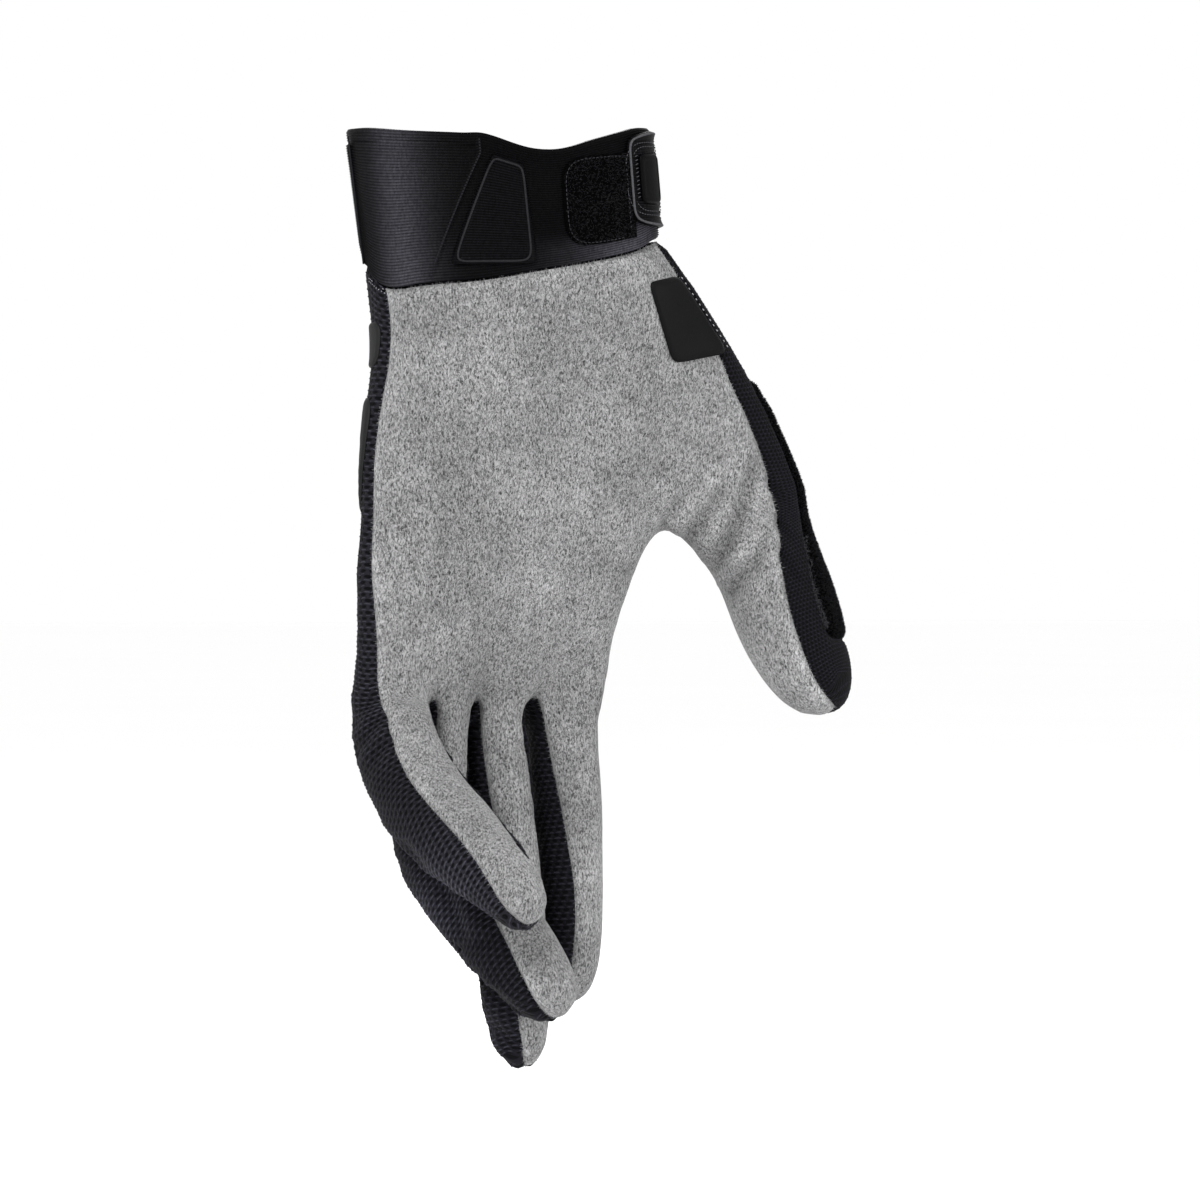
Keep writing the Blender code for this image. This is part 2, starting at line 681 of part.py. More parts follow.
def make_cuff_trim(into):
    """The pull panel, the loop patch, the closure strap and its badge."""
    pull = on_cuff(PULL_PLACE, PULL_HEIGHT, PULL_TOP_BREADTH, PULL_FOOT_BREADTH)
    grid_wall("cuff_pull_panel", pull, 6, 6, TRIM_WALL, PIECE_GAP, RIBBED, into, corner=0.45)
    patch = on_cuff(PATCH_PLACE, PATCH_HEIGHT, PATCH_BREADTH, PATCH_BREADTH)
    grid_wall("loop_patch", patch, 7, 5, TRIM_WALL, PIECE_GAP, FUZZ, into, corner=0.4)

    def strap(across, down):
        drop = STRAP_PLACE.top * CUFF_HEIGHT + STRAP_HEIGHT * down
        angle = STRAP_PLACE.end_angle + (STRAP_PLACE.root_angle - STRAP_PLACE.end_angle) * across
        share = cuff_share(angle, drop)
        normal = cuff_normal(angle, min(max(share, 0), 1))
        return cuff_point(angle, share), normal

    grid_wall("closure_strap", strap, 16, 5, STRAP_WALL, PIECE_GAP, RIBBED, into, corner=0.5)
    badge = on_cuff(BADGE_PLACE, BADGE_HEIGHT, BADGE_BREADTH, BADGE_BREADTH, PIECE_GAP + STRAP_WALL)
    grid_wall("strap_badge", badge, 3, 4, TRIM_WALL, PIECE_GAP, RUBBER, into, corner=0.4)


# The middle of each piece on a panel, as shares of the palm's breadth (across), of its depth
# (forward) and of its length (down), near the surface that the piece is laid on. lean is the angle
# of its length from the vertical, and it is laid on from the side that the facing looks to.
HandPlace = namedtuple("HandPlace", "across forward down lean facing")
LABEL_FACING = Vector((0.35, -0.93, 0)).normalized()
GUARD_FACING = Vector((-0.94, 0.34, 0)).normalized()
LABEL_PLACE = HandPlace(0.555, 0.85, 0.080, 25, LABEL_FACING)
SHORT_GUARD_PLACE = HandPlace(-0.45, -0.49, 0.148, 0, GUARD_FACING)
LONG_GUARD_PLACE = HandPlace(-0.50, -0.45, 0.415, 0, GUARD_FACING)


def over_hand(tree, spot, breadth, length):
    """A rectangle laid on the hand, as a function of the shares across and down it."""
    centre = Vector(
        (
            spot.across * PALM_BREADTH,
            -spot.forward * PALM_DEPTH,
            -CUFF_HEIGHT - spot.down * PALM_LENGTH,
        )
    )
    facing, lean = spot.facing, math.radians(spot.lean)
    down = Vector((math.sin(lean), 0, -math.cos(lean)))
    down = (down - facing * down.dot(facing)).normalized()
    side = facing.cross(down).normalized()

    def point_at(across, share):
        at = centre + side * ((across - 0.5) * breadth) + down * ((share - 0.5) * length)
        hit, normal, _, _ = tree.ray_cast(at + facing * PALM_BREADTH, -facing)
        return hit, normal

    return point_at


def make_hand_trim(surface, into):
    """The heel label and the guards on the little finger side."""
    tree = BVHTree.FromPolygons(
        [vert.co for vert in surface.vertices],
        [tuple(face.vertices) for face in surface.polygons],
    )
    label = over_hand(tree, LABEL_PLACE, LABEL_BREADTH, LABEL_LENGTH)
    grid_wall("heel_label", label, 4, 5, TRIM_WALL, PIECE_GAP, RUBBER, into, corner=0.3)
    for name, spot, length in (
        ("side_guard_upper", SHORT_GUARD_PLACE, SHORT_GUARD_LENGTH),
        ("side_guard_lower", LONG_GUARD_PLACE, LONG_GUARD_LENGTH),
    ):
        guard = over_hand(tree, spot, GUARD_BREADTH, length)
        grid_wall(name, guard, 3, 6, GUARD_WALL, PIECE_GAP, RUBBER, into, corner=0.4)


def main(levels=1):
    clear_scene()
    parts = collection("mountain_bike_glove")
    guides = collection("guides")
    surface = smoothed(hand_cage(), guides, levels)
    cut_panels(surface, parts)
    make_cuff(parts)
    make_cuff_trim(parts)
    make_hand_trim(surface, parts)


main()
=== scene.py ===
import functools
import math
import random

import bmesh
import bpy
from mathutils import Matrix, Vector, kdtree, noise
from mathutils.bvhtree import BVHTree


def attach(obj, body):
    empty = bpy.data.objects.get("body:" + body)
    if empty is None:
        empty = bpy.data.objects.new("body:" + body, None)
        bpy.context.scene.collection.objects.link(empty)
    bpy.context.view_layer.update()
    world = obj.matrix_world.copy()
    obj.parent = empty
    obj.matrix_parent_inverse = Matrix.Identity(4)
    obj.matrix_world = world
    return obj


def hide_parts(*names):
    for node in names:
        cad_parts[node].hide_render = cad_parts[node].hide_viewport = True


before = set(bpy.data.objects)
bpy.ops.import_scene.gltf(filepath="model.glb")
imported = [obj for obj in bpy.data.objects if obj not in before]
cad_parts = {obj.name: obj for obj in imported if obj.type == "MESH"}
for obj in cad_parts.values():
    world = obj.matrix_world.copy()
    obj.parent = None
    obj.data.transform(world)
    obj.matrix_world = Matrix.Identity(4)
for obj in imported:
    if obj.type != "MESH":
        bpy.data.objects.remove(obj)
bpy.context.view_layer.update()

# Mountain bike glove, left hand, worn shape. +Z is up and out of the cuff's mouth, the palm faces -Y
# and the thumb is on the +X side. Lengths are in metres, angles in degrees.

scene = bpy.context.scene
up = Vector((0, 0, 1))

# The camera stands level, this far round from the palm's side
view = {"azimuth": -33, "distance": 1.3, "acrossTarget": 0.02474, "upTarget": -0.11734,
        "frameWidth": 0.3061, "sensor": 36, "clipEnd": 50}
toRight = Vector((math.cos(math.radians(view["azimuth"])), math.sin(math.radians(view["azimuth"])), 0))
toCamera = Vector((toRight.y, -toRight.x, 0))


# Cuff: the angle runs from the thumb side (0) over the back (90) and the little finger side (180)
# to the palm (270). The edges are (angle, rise as a share of the height). The hem runs from one
# (angle, drop) to another, and the overlap's edge from one (drop, angle) to another.
cuff = {
    "breadth": 0.0726, "depth": 0.0450, "height": 0.0372, "wall": 0.0020,
    "wristBreadth": 0.0710, "wristDepth": 0.0420,
    "mouthEdge": ((0, 0.075), (24, 0.02), (50, -0.04), (90, -0.06), (126, -0.01), (146, 0.046),
                  (180, 0.048), (215, 0.010), (240, -0.007), (249, -0.010), (270, -0.110),
                  (290, -0.023), (302, 0.026), (318, 0.072)),
    "wristEdge": ((0, -0.66), (90, -0.78), (168, -0.87), (182, -0.995), (190, -1.035), (200, -1.045),
                  (214, -1.023), (246, -0.986), (282, -0.856), (310, -0.758), (326, -0.690)),
    "ribs": 52, "rowsPerRib": 4, "ribRise": 0.00016, "ribTopFade": 0.0012, "ribFootFade": 0.0010,
    "step": 2.0, "fineStep": 0.6, "fineFrom": 217, "fineTo": 253, "linerRows": 10, "footGap": 0.0003,
    "hemFrom": 60, "hemTo": 247, "hemLeft": (172, 0.0013), "hemRight": (245, 0.0033),
    "hemDepth": 0.00035, "hemWidth": 0.0004, "sleeveRise": 0.0005, "sleeveTo": 176,
    "lapTop": (0.0052, 247.5), "lapFoot": (0.0330, 223.5), "lapRise": 0.0006, "lapFade": 20,
    "lapWelt": 0.00035, "lapWeltAt": 0.7, "lapWeltWidth": 0.5,
    "sideSeam": 169, "sideSeamRise": 0.0005, "sideSeamWidth": 1.6,
    "topRounding": (0.0004, 0.0003), "footRounding": (0.0007, 0.0006),
    # the first pair places a painted highlight beside the overlap as angle and width; the next values make
    # the foot under the loop patch paler
    "paintedHighlightAt": (205, 15), "paleFootAt": (303, 24), "paleFoot": 1.3, "foldCord": 0.00024,
}

# Hand rows: down, rise, ulnar, web, radial, depth, ulnar forward, radial forward, arch, hollow,
# ulnar seam, radial seam, side. The lengths are shares of the palm's length, breadth and depth.
hand = {
    "palmLength": 0.1050, "palmBreadth": 0.0750, "palmDepth": 0.0300, "wall": 0.0010,
    "squareness": 2.3, "ringSwell": 1.08, "handSwell": 1.012, "dorsalMargin": 15,
    "palmColumns": 11, "tubeColumns": 9, "refine": 3, "seamGap": 0.0003,
    "upperRows": (
        (0.145, 0.085, -0.420, 0.52, 0.726, 1.27, -0.23, 0.43, 0.00, 0.04, 9, 27, 12),
        (0.295, 0.090, -0.464, 0.58, 0.940, 1.17, -0.23, 0.48, 0.00, 0.09, 7, 34, 25),
        (0.450, 0.095, -0.500, 0.62, 1.080, 1.08, -0.19, 0.52, 0.00, 0.12, 7, 33, 27),
        (0.600, 0.120, -0.508, 0.63, 1.200, 0.97, -0.14, 0.50, 0.00, 0.12, 8, 32, 25),
    ),
    "tubeRows": (
        (0.714, 0.000, -0.537, 0.00, 0.467, 0.93, -0.12, 0.13, 0.05, 0.10, 10, 20, 0),
        (0.857, 0.000, -0.549, 0.00, 0.405, 0.90, 0.00, 0.07, 0.22, 0.05, 20, 20, 0),
        (1.000, 0.000, -0.608, 0.00, 0.410, 0.80, 0.12, 0.00, 0.38, 0.00, 30, 24, 0),
    ),
    "knuckleShares": (0.05, 0.16, 0.31, 0.41, 0.505, 0.61, 0.715, 0.85, 0.97),
    "crotchGroove": 0.12, "crotchSlope": 0.05, "webRise": 0.03, "firstCrotchShift": 0.0024,
    "thumbSeamSlide": (0, 2, 6, 5), "thumbBackRise": (0.0010, 0.0014, 0.0018, 0.0008),
}

# Panels in the order of their numbers
palm, back, gusset1, gusset2, gusset3, thumbBack, terry = range(7)

evenTurns = (225, 270, 315, 0, 45, 90, 135, 180)
overPalm = Vector((1, 0, 0))

# Finger rows: across, forward, down (shares of the length from the root), breadth, depth, roll.
# From the ring wrappedFrom on, the palm also covers side 2.
fingers = {
    "little": {
        "length": 0.0845, "breadth": 0.0205, "across": overPalm, "turns": evenTurns, "wrappedFrom": 6,
        "sides": (palm, palm, gusset1, gusset1, back, back, back, back),
        "rows": (
            (-0.018, 0.050, 0.110, 0.90, 1.40, 0), (-0.010, 0.105, 0.212, 0.98, 1.34, 4),
            (-0.002, 0.195, 0.309, 1.02, 1.28, 8), (0.018, 0.322, 0.403, 1.05, 1.24, 8),
            (0.046, 0.440, 0.478, 1.03, 1.06, 6), (0.074, 0.545, 0.551, 0.92, 0.90, 18),
            (0.098, 0.628, 0.628, 0.74, 0.74, 44), (0.098, 0.694, 0.742, 0.0, 0.0, 0),
        ),
    },
    "ring": {
        "length": 0.1030, "breadth": 0.0195, "across": overPalm, "turns": evenTurns, "wrappedFrom": 7,
        "sides": (palm, palm, gusset2, gusset2, back, back, gusset1, gusset1),
        "rows": (
            (-0.002, -0.006, 0.110, 0.82, 1.18, 0), (-0.010, -0.014, 0.225, 0.88, 1.26, 0),
            (-0.018, 0.000, 0.319, 0.93, 1.40, 0), (-0.027, 0.042, 0.400, 1.02, 1.46, -4),
            (-0.016, 0.128, 0.474, 1.10, 1.34, -8), (-0.003, 0.230, 0.549, 1.16, 1.28, -10),
            (0.018, 0.326, 0.630, 1.16, 1.18, -2), (0.039, 0.402, 0.701, 1.08, 1.06, 12),
            (0.056, 0.445, 0.765, 0.82, 0.82, 20), (0.060, 0.465, 0.835, 0.0, 0.0, 20),
        ),
    },
    "middle": {
        "length": 0.1000, "breadth": 0.0175, "across": overPalm,
        "turns": (211, 263, 315, 0, 45, 90, 135, 180),
        "sides": (palm, palm, gusset3, gusset3, back, back, gusset2, gusset2),
        "rows": (
            (0.004, 0.004, 0.100, 0.90, 1.30, 8), (0.012, 0.018, 0.245, 0.97, 1.38, 0),
            (0.016, 0.044, 0.391, 0.96, 1.30, -6), (0.017, 0.078, 0.531, 0.97, 1.18, -14),
            (0.012, 0.098, 0.659, 1.03, 1.14, -18), (0.012, 0.109, 0.773, 1.05, 1.12, -22),
            (0.018, 0.123, 0.868, 0.94, 0.98, -25), (0.021, 0.140, 0.940, 0.70, 0.74, -20),
            (0.025, 0.160, 1.012, 0.0, 0.0, 0),
        ),
    },
    "index": {
        "length": 0.0835, "breadth": 0.0175, "across": overPalm, "turns": evenTurns,
        "sides": (palm, palm, palm, back, back, back, gusset3, gusset3),
        "rows": (
            (0.010, 0.008, 0.110, 0.93, 1.26, 30), (0.016, 0.024, 0.290, 0.96, 1.38, 16),
            (0.020, 0.028, 0.460, 0.96, 1.30, 0), (0.018, 0.044, 0.607, 0.94, 1.15, -16),
            (0.012, 0.060, 0.745, 0.93, 1.05, -18), (0.003, 0.060, 0.853, 0.90, 0.98, -17),
            (-0.008, 0.056, 0.935, 0.74, 0.80, -15), (-0.016, 0.048, 1.015, 0.0, 0.0, 0),
        ),
    },
    "thumb": {
        "length": 0.0675, "breadth": 0.0295, "across": Vector((0.93, -0.20, 0.35)),
        "turns": (225, 270, 315, 352, 45, 90, 135, 180),
        "sides": (palm, palm, thumbBack, thumbBack, thumbBack, thumbBack, thumbBack, palm),
        "terryRings": 4,
        "rows": (
            (0.135, 0.044, 0.142, 1.02, 1.04, 41), (0.172, 0.080, 0.270, 0.95, 0.97, 52),
            (0.207, 0.133, 0.440, 0.96, 0.94, 59), (0.239, 0.192, 0.594, 0.85, 0.85, 62),
            (0.306, 0.252, 0.735, 0.68, 0.68, 74), (0.410, 0.330, 0.850, 0.0, 0.0, 0),
        ),
    },
}


# Small helpers

def easeStep(low, high, value):
    share = min(max((value - low) / (high - low), 0), 1)
    return share * share * (3 - 2 * share)


def bell(distance, width):
    return math.exp(-((distance / width) ** 2))


def squared(value):
    return math.copysign(abs(value) ** (2 / hand["squareness"]), value)


def edgeRise(rows, angle):
    # a smooth closed curve through the rows
    angle %= 360
    after = sum(rowAngle <= angle for rowAngle, _ in rows)
    near = []
    for k in range(after - 2, after + 2):
        turns, number = divmod(k, len(rows))
        near.append((rows[number][0] + 360 * turns, rows[number][1]))
    (a0, r0), (a1, r1), (a2, r2), (a3, r3) = near
    share = (angle - a1) / (a2 - a1)
    leaving = (r2 - r0) / (a2 - a0) * (a2 - a1)
    reaching = (r3 - r1) / (a3 - a1) * (a2 - a1)
    left = 1 - share
    return (left**2 * (r1 * (1 + 2 * share) + leaving * share)
            + share**2 * (r2 * (1 + 2 * left) - reaching * left))


def alongLine(start, end, value):
    # what a line from start to end reaches at the value; it is level before the start
    return start[1] + (end[1] - start[1]) * max(value - start[0], 0) / (end[0] - start[0])


def middleOf(verts):
    return sum((vert.co for vert in verts), Vector()) / len(verts)


def addPiece(name, mesh, material, slot, *nodes):
    mesh.shade_smooth()
    mesh.materials.append(material)
    piece = bpy.data.objects.new(name, mesh)
    scene.collection.objects.link(piece)
    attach(piece, "root")
    if nodes:
        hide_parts(*nodes)
    return piece


def settleOrder(bm):
    # an extrusion leaves its parts in an order that changes from run to run, so they are sorted
    slant = Vector((1, 0.618, 0.293))
    bm.verts.sort(key=lambda vert: vert.co.dot(slant))
    bm.verts.index_update()
    count = len(bm.verts)

    def rank(part):
        numbers = sorted(vert.index for vert in part.verts)
        return (numbers[0] * count + numbers[1]) * count + numbers[-1]
    bm.edges.sort(key=rank)
    bm.faces.sort(key=rank)


def finish(bm, name, material, slot, *nodes):
    settleOrder(bm)
    bmesh.ops.recalc_face_normals(bm, faces=bm.faces[:])
    mesh = bpy.data.meshes.new(name)
    bm.to_mesh(mesh)
    bm.free()
    return addPiece(name, mesh, material, slot, *nodes)


# Sections of the cuff and of the hand

def sectionPoint(section, angle):
    ulnar, web, radial, depth, ulnarForward, radialForward, arch, hollow = section
    natural = (1 + squared(math.cos(math.radians(angle)))) / 2
    webAt = (1 + squared(math.cos(math.radians(45)))) / 2
    if web is None:
        across = natural
    elif natural <= webAt:
        across = natural / webAt * web
    else:
        across = web + (natural - webAt) / (1 - webAt) * (1 - web)
    rise = squared(math.sin(math.radians(angle)))
    bulge = arch * 4 * across * (1 - across)
    dent = hollow * math.sin(math.pi * min(across, 1)) ** 2 if rise < 0 else 0
    y = -(ulnarForward + (radialForward - ulnarForward) * across) + depth / 2 * rise + bulge + dent
    return ulnar + (radial - ulnar) * across, y, across


def endSection(breadth, depth, ulnar, radial, forward):
    return (ulnar * breadth, None, radial * breadth, depth, -forward * breadth, forward * breadth, 0, 0)


mouthSection = endSection(cuff["breadth"], cuff["depth"], -0.521, 0.479, 0.130)
wristSection = endSection(cuff["wristBreadth"], cuff["wristDepth"], -0.462, 0.538, 0.133)


@functools.cache
def cuffEnds(angle):
    ends = []
    for section, edge in ((mouthSection, cuff["mouthEdge"]), (wristSection, cuff["wristEdge"])):
        x, y, _ = sectionPoint(section, angle)
        ends.append(Vector((x, y, edgeRise(edge, angle) * cuff["height"])))
    return ends


def cuffPoint(angle, share):
    top, foot = cuffEnds(angle)
    return top + (foot - top) * share


def cuffNormal(angle, share):
    along = cuffPoint(angle + 1, share) - cuffPoint(angle - 1, share)
    down = cuffPoint(angle, min(share + 0.05, 1)) - cuffPoint(angle, max(share - 0.05, 0))
    return down.cross(along).normalized()


# Hand cage: one coarse net of quads, with the panel of each face as its material number

def columnAngles(count, row):
    first, last = 180 + row[10], 360 - row[11]
    palmar = [first + (last - first) * k / (count - 1) for k in range(count)]
    margin = hand["dorsalMargin"]
    dorsal = [margin + (180 - 2 * margin) * k / (count - 1) for k in range(count)]
    return [180, *palmar, 360 - row[12], *dorsal]


def knuckleAngles():
    turns = []
    for share in hand["knuckleShares"]:
        offset = 2 * share - 1
        turns.append(math.degrees(math.acos(math.copysign(abs(offset) ** (hand["squareness"] / 2), offset))))
    return [180, *(360 - turn for turn in turns), 0, *reversed(turns)]


def handRing(row, angles):
    down, rise, ulnar, web, radial, depth, ulnarForward, radialForward, arch, hollow = row[:10]
    breadth, palmDepth = hand["palmBreadth"], hand["palmDepth"]
    section = (
        ulnar * breadth, (web - ulnar) / (radial - ulnar) if web else None, radial * breadth,
        depth * palmDepth, ulnarForward * palmDepth, radialForward * palmDepth,
        arch * palmDepth, hollow * palmDepth,
    )
    points = []
    for angle in angles:
        x, y, across = sectionPoint(section, angle)
        z = (rise * across**2 - down) * hand["palmLength"] - cuff["height"]
        points.append(Vector((x, y, z)))
    middle = sum(points, Vector()) / len(points)
    for point in points:
        point.x = middle.x + (point.x - middle.x) * hand["handSwell"]
        point.y = middle.y + (point.y - middle.y) * hand["handSwell"]
    return points


def wristRing():
    points = [cuffPoint(angle, 1) for angle in columnAngles(hand["palmColumns"], hand["upperRows"][0])]
    ring = []
    for k, point in enumerate(points):
        neighbours = (points[k - 1] + points[(k + 1) % len(points)]) / 2
        ring.append(point + (point - neighbours) / 3 - up * hand["seamGap"])
    return ring


def fingerRings(root, finger):
    length, across = finger["length"], finger["across"]
    middles = [root]
    for row in finger["rows"]:
        middles.append(root + length * Vector((row[0], -row[1], -row[2])))
    rings = []
    for k, row in enumerate(finger["rows"][:-1]):
        along = (middles[k + 2] - middles[k]).normalized()
        side = (across - along * across.dot(along)).normalized()
        outward = side.cross(along)
        half = finger["breadth"] * hand["ringSwell"] / 2
        ring = []
        for angle in finger["turns"]:
            turned = math.radians(angle - row[5])
            ring.append(middles[k + 1] + side * (math.cos(turned) * row[3] * half)
                        + outward * (math.sin(turned) * row[4] * half))
        rings.append(ring)
    return rings, middles


def growBand(bm, upper, points, panels, drop):
    # the next ring is drawn out of this one; each face gets its panel and its pattern coordinates
    layer = bm.loops.layers.uv.get("pattern")
    edges = [bm.edges.get((a, b)) or bm.edges.new((a, b)) for a, b in zip(upper, (*upper[1:], upper[0]))]
    made = bmesh.ops.extrude_edge_only(bm, edges=edges)["geom"]
    drawn = {tuple(v.co): v for v in made if isinstance(v, bmesh.types.BMVert)}
    lower = [drawn[tuple(v.co)] for v in upper]
    for vert, point in zip(lower, points):
        vert.co = point
    walked = {}
    for ring, fall in ((upper, drop[0]), (lower, drop[1])):
        around = 0
        for k, vert in enumerate(ring):
            walked[vert, k] = (around, fall)
            around += (ring[(k + 1) % len(ring)].co - vert.co).length
        walked[ring[0], len(ring)] = (around, fall)
    for k, panel in enumerate(panels):
        n = (k + 1) % len(upper)
        face = bm.edges.get((lower[k], lower[n])).link_faces[0]
        face.material_index = panel
        for loop in face.loops:
            at = k if loop.vert in (upper[k], lower[k]) else k + 1
            loop[layer].uv = walked[loop.vert, at if (loop.vert, at) in walked else 0]
    return lower


def growFinger(bm, base, finger, drop):
    points, middles = fingerRings(middleOf(base), finger)
    ring = base
    for number, row in enumerate(points):
        nextDrop = drop + (middles[number + 1] - middles[number]).length
        wiped = number < finger.get("terryRings", 0)
        panels = [terry if wiped and side in (3, 4) else panel for side, panel in enumerate(finger["sides"])]
        if number >= finger.get("wrappedFrom", 99):
            panels[2] = palm
        ring = growBand(bm, ring, row, panels, (drop, nextDrop))
        drop = nextDrop
    # four quads close the tip; the pattern goes on over them
    end = bm.verts.new(middles[-1])
    layer = bm.loops.layers.uv["pattern"]
    for first in (0, 2, 4, 6):
        corners = [ring[(first + k) % 8] for k in range(3)]
        face = bm.faces.new((*reversed(corners), end))
        face.material_index = palm if first == 2 and "wrappedFrom" in finger else finger["sides"][first]
        for loop in face.loops:
            away = loop.vert.co - middles[-2]
            loop[layer].uv = (away.x + away.y, drop + max(away.dot(middles[-1] - middles[-2]), 0) * 50)


def handCage():
    bm = bmesh.new()
    bm.loops.layers.uv.new("pattern")
    first = wristRing()
    loop = bmesh.ops.create_circle(bm, segments=len(first), radius=1)["verts"]
    for vert, point in zip(loop, first):
        vert.co = point
    ring = loop
    drop = 0
    slides = []
    upperCount, tubeCount = hand["palmColumns"], hand["tubeColumns"]
    for number, row in enumerate(hand["upperRows"]):
        outside = terry if number >= 2 else thumbBack
        panels = ([back] + [palm] * (upperCount - 1) + [thumbBack, outside, outside, thumbBack]
                  + [back] * tubeCount)
        nextDrop = row[0] * hand["palmLength"]
        angles = columnAngles(upperCount, row)
        ring = growBand(bm, ring, handRing(row, angles), panels, (drop, nextDrop))
        drop = nextDrop
        angles[upperCount] += hand["thumbSeamSlide"][number]
        angles[upperCount + 1] += hand["thumbSeamSlide"][number] * 0.8
        slid = handRing(row, angles)
        for k in (upperCount, upperCount + 1):
            slides.append((ring[k], slid[k]))
        for k in (upperCount + 2, upperCount + 3):
            slides.append((ring[k], ring[k].co + toRight * hand["thumbBackRise"][number]))
    thumbEnd = upperCount + 4
    web = bm.verts.new((ring[tubeCount].co + ring[thumbEnd].co) / 2)
    web.co.z += hand["webRise"] * hand["palmLength"]
    thumbBase = [*ring[tubeCount : thumbEnd + 1], web]
    ring = [*ring[: tubeCount + 1], web, *ring[thumbEnd:]]
    growFinger(bm, thumbBase, fingers["thumb"], drop)
    for row in hand["tubeRows"]:
        lastRow = row is hand["tubeRows"][-1]
        angles = knuckleAngles() if lastRow else columnAngles(tubeCount, row)
        panels = ([back] + [palm] * tubeCount + [back] * (tubeCount + 1))[: len(ring)]
        nextDrop = row[0] * hand["palmLength"]
        ring = growBand(bm, ring, handRing(row, angles), panels, (drop, nextDrop))
        drop = nextDrop
    for vert in ring[tubeCount + 2 :]:
        vert.co.z += hand["crotchSlope"] * hand["palmLength"]
    crotches = [ring[0]]
    for k in (1, 2, 3):
        front, rear = ring[1 + 2 * k], ring[19 - 2 * k]
        front.co.y += hand["crotchGroove"] * hand["palmDepth"]
        rear.co.y -= hand["crotchGroove"] * hand["palmDepth"]
        crotches.append(bm.verts.new((front.co + rear.co) / 2))
        if k == 1:
            for vert in (front, rear, crotches[-1]):
                slides.append((vert, vert.co + toRight * hand["firstCrotchShift"]))
    crotches.append(ring[tubeCount + 1])
    for k, name in enumerate(("little", "ring", "middle", "index")):
        base = [*ring[1 + 2 * k : 4 + 2 * k], crotches[k + 1], *ring[17 - 2 * k : 20 - 2 * k], crotches[k]]
        growFinger(bm, base, fingers[name], drop)
    for vert, place in slides:
        vert.co = place
    settleOrder(bm)
    bmesh.ops.recalc_face_normals(bm, faces=bm.faces[:])
    return bm


# Creases of the cloth, as the camera sees them: (across, up) of both ends from the middle of the
# cuff's mouth, then width and depth, all in millimetres
folds = {
    "thumbWeb": ((46.2, -90.5), (40.6, -98.4), 1.3, 1.1),
    "thumbCreaseUpper": ((57.8, -88.2), (47.3, -101.9), 1.6, 1.6),
    "thumbCreaseMiddle": ((64.6, -84.0), (55.6, -108.0), 1.9, 1.7),
    "thumbCreaseLower": ((66.8, -104.3), (57.9, -116.5), 1.8, 1.2),
    "netPuckerUpper": ((67.3, -85.0), (72.4, -91.8), 0.9, 0.6),
    "netPuckerMiddle": ((68.1, -93.5), (73.6, -101.2), 0.9, 0.6),
    "netPuckerLower": ((69.8, -102.9), (75.8, -112.2), 0.9, 0.6),
    "palmHollow": ((-20.0, -60.0), (-12.0, -118.0), 9.0, 0.5),
    "littleKnuckleUpper": ((-37.8, -149.5), (-31.8, -141.0), 1.5, 1.0),
    "littleKnuckle": ((-37.0, -156.5), (-30.8, -146.5), 1.6, 1.1),
    "littleKnuckleLower": ((-34.5, -161.0), (-29.2, -152.5), 1.4, 0.8),
    "ringJoint": ((-15.6, -189.0), (-9.3, -201.5), 1.9, 1.3),
    "ringJointLower": ((-11.4, -204.5), (-1.4, -202.0), 1.6, 1.0),
    "ringBack": ((-24.0, -178.0), (-17.5, -187.0), 1.5, 0.8),
    "middleJoint": ((-6.3, -213.0), (4.3, -221.5), 1.6, 1.0),
    "middleEnd": ((-3.5, -226.0), (4.0, -230.5), 1.5, 0.8),
}

# Waves all over the skin as (scale, height), and wrinkles in the knit below the first drop
waves = ((55, 0.00035), (170, 0.00012))
wrinkles = {"depth": 0.0010, "level": 0.2, "growing": (0.110, 0.150)}


def foldDepth(point, normal):
    if normal.dot(toCamera) < 0.15:
        return 0
    across, rise = point.dot(toRight) * 1000, point.z * 1000
    total = 0
    for (x0, y0), (x1, y1), width, depth in folds.values():
        run = Vector((x1 - x0, y1 - y0))
        here = Vector((across - x0, rise - y0))
        share = here.dot(run) / run.length_squared
        fade = easeStep(-0.25, 0.15, share) * (1 - easeStep(0.85, 1.2, share))
        off = here.cross(run) / run.length
        total += fade * depth * (bell(off, width) - 0.45 * bell(abs(off) - 2.2 * width, width))
    return total / 1000


def settleBorders(bm, rounds=12):
    # rounds the corners of the panels' outlines: their points slide along the surface
    surface = BVHTree.FromBMesh(bm)
    lines = {}
    for edge in bm.edges:
        if len({face.material_index for face in edge.link_faces}) > 1:
            for vert in edge.verts:
                lines.setdefault(vert, []).append(edge.other_vert(vert))
    near = {}
    for vert in lines:
        for edge in vert.link_edges:
            other = edge.other_vert(vert)
            for further in (other, *(e.other_vert(other) for e in other.link_edges)):
                if further not in lines and not further.is_boundary:
                    near[further] = [e.other_vert(further) for e in further.link_edges]
    paired = {vert: others for vert, others in lines.items() if len(others) == 2}
    for _ in range(rounds):
        moves = [(v, v.co.lerp(middleOf(others), 0.5)) for v, others in (*paired.items(), *near.items())]
        for vert, place in moves:
            vert.co = surface.find_nearest(place)[0]


